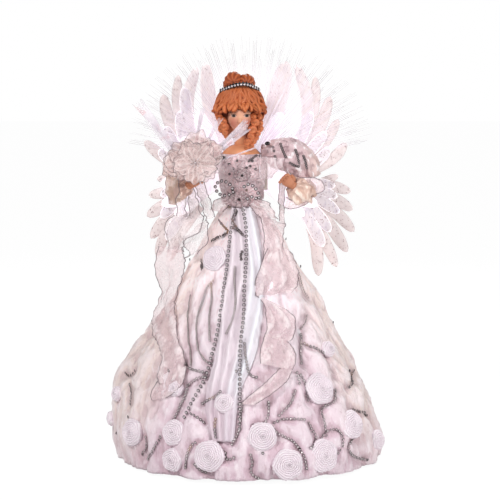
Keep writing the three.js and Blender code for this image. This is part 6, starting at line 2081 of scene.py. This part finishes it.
def wings():
    """Three rows of feathers on each side, the front rows with a painted glow along their edges, and flecks
    of glitter.
    """
    turned = [(*((2 * MIRROR_COLUMN - px, py) for px, py in places), width) for *places, width in COVERTS]
    sides = (("left", LEFT_OUTER_FEATHERS, LEFT_PLUMES, LEFT_INNER_FEATHERS, turned),
             ("right", RIGHT_OUTER_FEATHERS, RIGHT_PLUMES, RIGHT_INNER_FEATHERS, COVERTS))
    for seed, (name, outer, plumes, inner, coverts) in enumerate(sides):
        rows = {"outer": feather_row(outer, OUTER_BACK, 0.0) + feather_row(plumes, INNER_BACK + 1.5, 0.35),
                "inner": feather_row(inner, INNER_BACK, 1.0),
                "covert": feather_row(coverts, COVERT_BACK, 1.3)}
        for row, feathers in rows.items():
            stands_for = [f"wing_{row}_{name}"] if row != "covert" else ()
            put(feathers, f"feathers_{row}_{name}", FILM, stands_for)
        flecks = glitter(rows["outer"] + rows["inner"], 17 + seed)
        put(flecks, "glitter_wing_" + name, GLITTER, smooth=False)


# The light fibres
FAN_TIP = 405.0
FAN_SWEEP = 164.0
FIBRE_RADIUS = 0.18
# Each fibre turns on by this share of the fan, so that they spread evenly
GOLDEN_SHARE = 0.61803
FINE_FIBRES = 260
BOLD_FIBRES = 34
# The ferrule: a half-round block, and a plug below it
FERRULE_RADIUS = 12.0
FERRULE_HALF_DEPTH = 4.4
PLUG_RADIUS = 5.2
PLUG_ENDS = (-9, -2)


def fibre_fan():
    """The fan behind the head: fine fibres of many lengths from a half-round ferrule, some in threes."""
    rng = np.random.default_rng(5)
    centre = vector(*FAN_CENTRE)
    fibres = []
    bold = []

    def fibre(angle, reach, radius, depth, sway):
        direction = vector(math.cos(angle), 0, math.sin(angle))
        across = vector(-math.sin(angle), 0, math.cos(angle))
        start = centre + direction * 10 + (0, depth, 0)
        end = centre + direction * reach + (0, depth, 0)
        middle = (start + end) / 2 + across * sway[0] + (0, sway[1], 0)
        return tube(smooth_line([start, middle, end], 5), radius * np.array([1, 1, 0.9, 0.75, 0.5]), 4)

    longest = FAN_TIP - FAN_CENTRE[2]
    for number in range(FINE_FIBRES):
        angle = math.radians(90 + FAN_SWEEP * (0.5 - (number * GOLDEN_SHARE) % 1))
        reach = longest * (1 - 0.34 * rng.random() ** 1.6)
        fibres.append(fibre(angle, reach, FIBRE_RADIUS, rng.uniform(-3.6, 3.6), rng.uniform(-1.6, 1.6, 2)))
    for number in range(BOLD_FIBRES):
        angle = math.radians(90 + FAN_SWEEP * (0.5 - (number * GOLDEN_SHARE + 0.21) % 1))
        reach = longest * rng.uniform(0.84, 1)
        depth = rng.uniform(-3, 3)
        for offset in (-1, 0, 1):
            bold.append(fibre(angle + offset * 0.014, reach * rng.uniform(0.93, 1), FIBRE_RADIUS * 1.35,
                              depth, (0.4 * offset, 0.0)))
    put(fibres, "fibres_back", FIBRE, ["fibre_fan"])
    put(bold, "fibres_back_long", BOLD_FIBRE)


def fan_ferrule():
    """The half-round ferrule that the fan's fibres come from, with the plug below it."""
    centre = vector(*FAN_CENTRE)
    angle = np.linspace(0, math.pi, 24)
    outline = FERRULE_RADIUS * np.stack([np.cos(angle), np.zeros(24), np.sin(angle)], axis=-1)
    outline = np.vstack([outline, [[-PLUG_RADIUS, 0, -4.0], [PLUG_RADIUS, 0, -4.0]]]) + centre
    block = loft(np.stack([outline + (0, depth, 0) for depth in (-FERRULE_HALF_DEPTH, FERRULE_HALF_DEPTH)]))
    plug = tube([centre + (0, 0, end) for end in PLUG_ENDS], PLUG_RADIUS, 24)
    put([block, plug], "fan_ferrule", FERRULE, smooth=False)


# Sheaves in front: where each starts and where its tips lie, in pixels, how far forward, and its count
SHEAF_ROUTES = (
    ((219, 147), (247.5, 121), 3.6, 44.0, 41.0, 9, 0.75),
    ((222, 150), (249.5, 127), 2.6, 44.0, 41.0, 6, 0.6),
    ((218, 161), (257, 147), 0.8, 44.0, 34.0, 3, 0.55),
    ((176, 150), (136, 101), 5.2, 40.0, 34.0, 12, 0.5),
    ((170, 150), (146, 116), 4.6, 40.0, 34.0, 7, 0.4),
    ((196, 140), (202.5, 106), 2.2, 42.0, 38.0, 7, 0.6),
    ((206, 143), (221, 117), 2.4, 42.0, 40.0, 5, 0.45),
    ((259, 176), (260, 154), 0.3, 30.0, 28.0, 1, 0.6),
)
# The tip of one more sheaf, wound with dark sequins: its two ends in pixels, how far forward, its radius,
# and its sequins' radius and step
DARK_TIP = ((215.3, 158.8), (224.6, 157.4))
DARK_TIP_FORWARD = 42.0
DARK_TIP_RADIUS = 2.1
TIP_SEQUIN_RADIUS = 0.8
TIP_SEQUIN_STEP = 1.8
# The collar behind the bloom that holds the sheaves, and the stem from it to a place beside the figure
COLLAR_RADIUS = 4.5
STEM_RADIUS = 0.9
STEM_END = (38.0, -38.0, 268.0)


def fibre_spray():
    """The sheaves behind the bloom: clear rods in flat bundles that spread to their tips."""
    rng = np.random.default_rng(9)
    rods = []
    for root, tip, spread, near, far, count, radius in SHEAF_ROUTES:
        start = seen_at(*root, near)
        end = seen_at(*tip, far)
        along = unit(end - start)
        across = unit(np.cross(along, (0, 1, 0)))
        for number in range(count):
            place = (number + 0.5) / count * 2 - 1
            shift = across * place * spread
            reach = 1 - 0.1 * rng.random()
            depth = vector(0, rng.uniform(-0.8, 0.8), 0)
            finish = start + (end - start) * reach + shift + depth
            line = smooth_line([start + shift * 0.35 + depth, (start + finish) / 2 + shift * 0.1, finish], 6)
            rods.append(tube(line, radius * np.array([1, 1, 1, 0.95, 0.85, 0.6]), 6))
    put(rods, "fibres_front", ROD, ["fibre_spray"])


def dark_tip():
    """The tip of a sheaf that is wound with dark sequins."""
    wound = sight_line(DARK_TIP, 12, DARK_TIP_FORWARD)
    dark = tube(wound, DARK_TIP_RADIUS * np.sin(np.linspace(0.15, 2.7, 12)) ** 0.7, 10)
    put(dark, "fibre_tip_winding", STONE)
    grains = [faced(wound + (0, -1.9, offset)) for offset in (-TIP_SEQUIN_RADIUS, TIP_SEQUIN_RADIUS)]
    strung("sequins_fibre_tip", grains, SEQUIN_TREE, SEQUIN, TIP_SEQUIN_STEP, TIP_SEQUIN_RADIUS, 0.5)


def spray_ferrule():
    """The collar that holds the sheaves, and its stem."""
    centre = vector(*BLOOM_CENTRE) + (0, 9.0, 0)
    end = at_side(-1, STEM_END)
    stem = [tube([centre + (0, -2, 0), centre + (0, 2.2, 0)], COLLAR_RADIUS, 24),
            tube(smooth_line([centre, (centre + end) / 2 + (0, 1, 0), end], 10), STEM_RADIUS, 10)]
    put(stem, "spray_ferrule", FERRULE, smooth=False)


# What shows only from below or behind keeps its solid. Each row: the finish, its two tones, the size of its
# clouds, its roughness, metalness and the rise of its grain, and the nodes that have it.
SOLID_FINISHES = (
    ("cone_card_stock", "E2DACE", "F2ECE2", 20.0, 0.75, 0.0, 0.15, ["support_cone"]),
    ("body_blank_card", "CDC1B3", "E0D6CA", 12.0, 0.8, 0.0, 0.15, ["torso_former"]),
    ("bracket_plastic", "DFD9D0", "EEE9E1", 15.0, 0.5, 0.0, 0.08, ["wing_bracket"]),
    ("lamp_housing_plastic", "E4E0DA", "F2EFEA", 15.0, 0.45, 0.0, 0.08, ["lamp_housing"]),
    ("led_lens_plastic", "F1EFFA", "FFFFFF", 4.0, 0.1, 0.0, 0.02, ["lamp_led"]),
    ("battery_case_plastic", "DAD7D2", "ECEAE6", 18.0, 0.45, 0.0, 0.08, ["battery_case"]),
    ("battery_door_plastic", "D6D3CE", "E9E7E3", 18.0, 0.45, 0.0, 0.08, ["battery_door"]),
    ("switch_slider_plastic", "242426", "3C3C40", 5.0, 0.45, 0.0, 0.08, ["switch_slider"]),
    ("cell_jacket", "5E6C7A", "7C8A97", 9.0, 0.35, 0.4, 0.03, ["battery_cell_left", "battery_cell_right"]),
    ("contact_steel", "A9A59D", "D2CEC6", 5.0, 0.3, 0.9, 0.03,
     ["battery_contact_low", "battery_contact_high"]),
)


def dress_solids():
    for name, *looks, nodes in SOLID_FINISHES:
        for node in nodes:
            ending = node[node.rindex("_"):] if len(nodes) > 1 else ""
            material = plain_finish(name + ending, *looks)
            for slot in frame["nodes"][node].material_slots:
                slot.material = material


# Stage, camera and light
FLOOR_SHADE = 0.9
FLOOR_GLOW = 1.06
FLOOR_REACH = 6000.0
FLOOR_DROP = -0.4
# Each lamp's place, size and power
LAMPS = {"light_key": ((-650, -1050, 1100), 300, 13), "light_fill": ((1150, -900, 520), 600, 9),
         "light_back": ((200, 900, 900), 700, 6)}


def placed(name, data, place):
    """A lamp or camera that looks at the figure."""
    made = bpy.data.objects.new(name, data)
    made.location = Vector(place) * MM
    made.rotation_euler = (Vector(CAMERA_TARGET) - Vector(place)).to_track_quat("-Z", "Y").to_euler()
    bpy.context.scene.collection.objects.link(made)
    return made


def background_finish():
    """White to the camera and in clear or glossy things, a pale floor for the light, clear from below."""
    finish = Finish("floor_paint", Base_Color=(*[FLOOR_SHADE] * 3, 1.0), Roughness=0.9)
    camera = finish.node("ShaderNodeLightPath", output="Is Camera Ray")
    share = (camera * 0.9 + (camera["Is Glossy Ray"] + camera["Is Transmission Ray"])).clamp()
    bright = finish.node("ShaderNodeEmission", {"Strength": FLOOR_GLOW})
    plain = Value(finish, finish.shader.outputs[0])
    above = finish.node("ShaderNodeMixShader", {0: share, 1: plain, 2: bright})
    below = finish.node("ShaderNodeNewGeometry", output="Backfacing")
    clear = finish.node("ShaderNodeBsdfTransparent")
    both = finish.node("ShaderNodeMixShader", {0: below, 1: above, 2: clear})
    finish.feed(finish.tree.nodes["Material Output"].inputs["Surface"], both)
    return finish.material


def stage():
    """A wide pale floor under the part."""
    ways = ((-1, -1), (1, -1), (1, 1), (-1, 1))
    corners = [(x * FLOOR_REACH, y * FLOOR_REACH, FLOOR_DROP) for x, y in ways]
    Shape(corners, [(0, 1, 2, 3)]).piece("floor_plain", background_finish(), smooth=False)


def world():
    """White to the camera, a soft even light for the rest."""
    made = bpy.data.worlds.new("studio_world")
    bpy.context.scene.world = made
    made.use_nodes = True
    nodes = Nodes(made.node_tree)
    soft, white = (nodes.node("ShaderNodeBackground", {"Color": tint, "Strength": strength})
                   for tint, strength in (((1.0, 0.99, 1.0, 1.0), 0.35), ((1.0, 1.0, 1.0, 1.0), 1.0)))
    camera = nodes.node("ShaderNodeLightPath", output="Is Camera Ray")
    mixed = nodes.node("ShaderNodeMixShader", {0: camera, 1: soft, 2: white})
    nodes.feed(nodes.tree.nodes["World Output"].inputs["Surface"], mixed)


def studio():
    for name, (place, size, power) in LAMPS.items():
        lamp = bpy.data.lights.new(name, "AREA")
        lamp.shape = "DISK"
        lamp.size = size * MM
        lamp.energy = power
        placed(name, lamp, place)
    camera = bpy.data.cameras.new("camera_photo")
    camera.lens = LENS
    camera.sensor_width = SENSOR
    camera.clip_end = 100
    bpy.context.scene.camera = placed("camera_photo", camera, CAMERA_PLACE)
    bpy.context.scene.view_settings.view_transform = "Standard"


def build():
    studio()
    world()
    stage()
    skirt_cloth()
    underskirt_cloth()
    satin_panel()
    for number in range(1, ROSETTE_COUNT + 1):
        rosette(number)
    skirt_sequins()
    for side, route in STRAND_ROUTES.items():
        bead_strand(side, route)
    for name, left, right, looks in RIBBONS:
        ribbon(name, left, right, **looks)
    bodice()
    for name, sizes in BROOCHES.items():
        brooch(name, sizes)
    for side, route in LOOP_ROUTES.items():
        bead_loop(side, route)
    for make in (head_and_neck, hair, tiara, sleeves, cuffs, hands, bloom, wings, fibre_fan, fan_ferrule,
                 fibre_spray, dark_tip, spray_ferrule, dress_solids):
        make()


build()
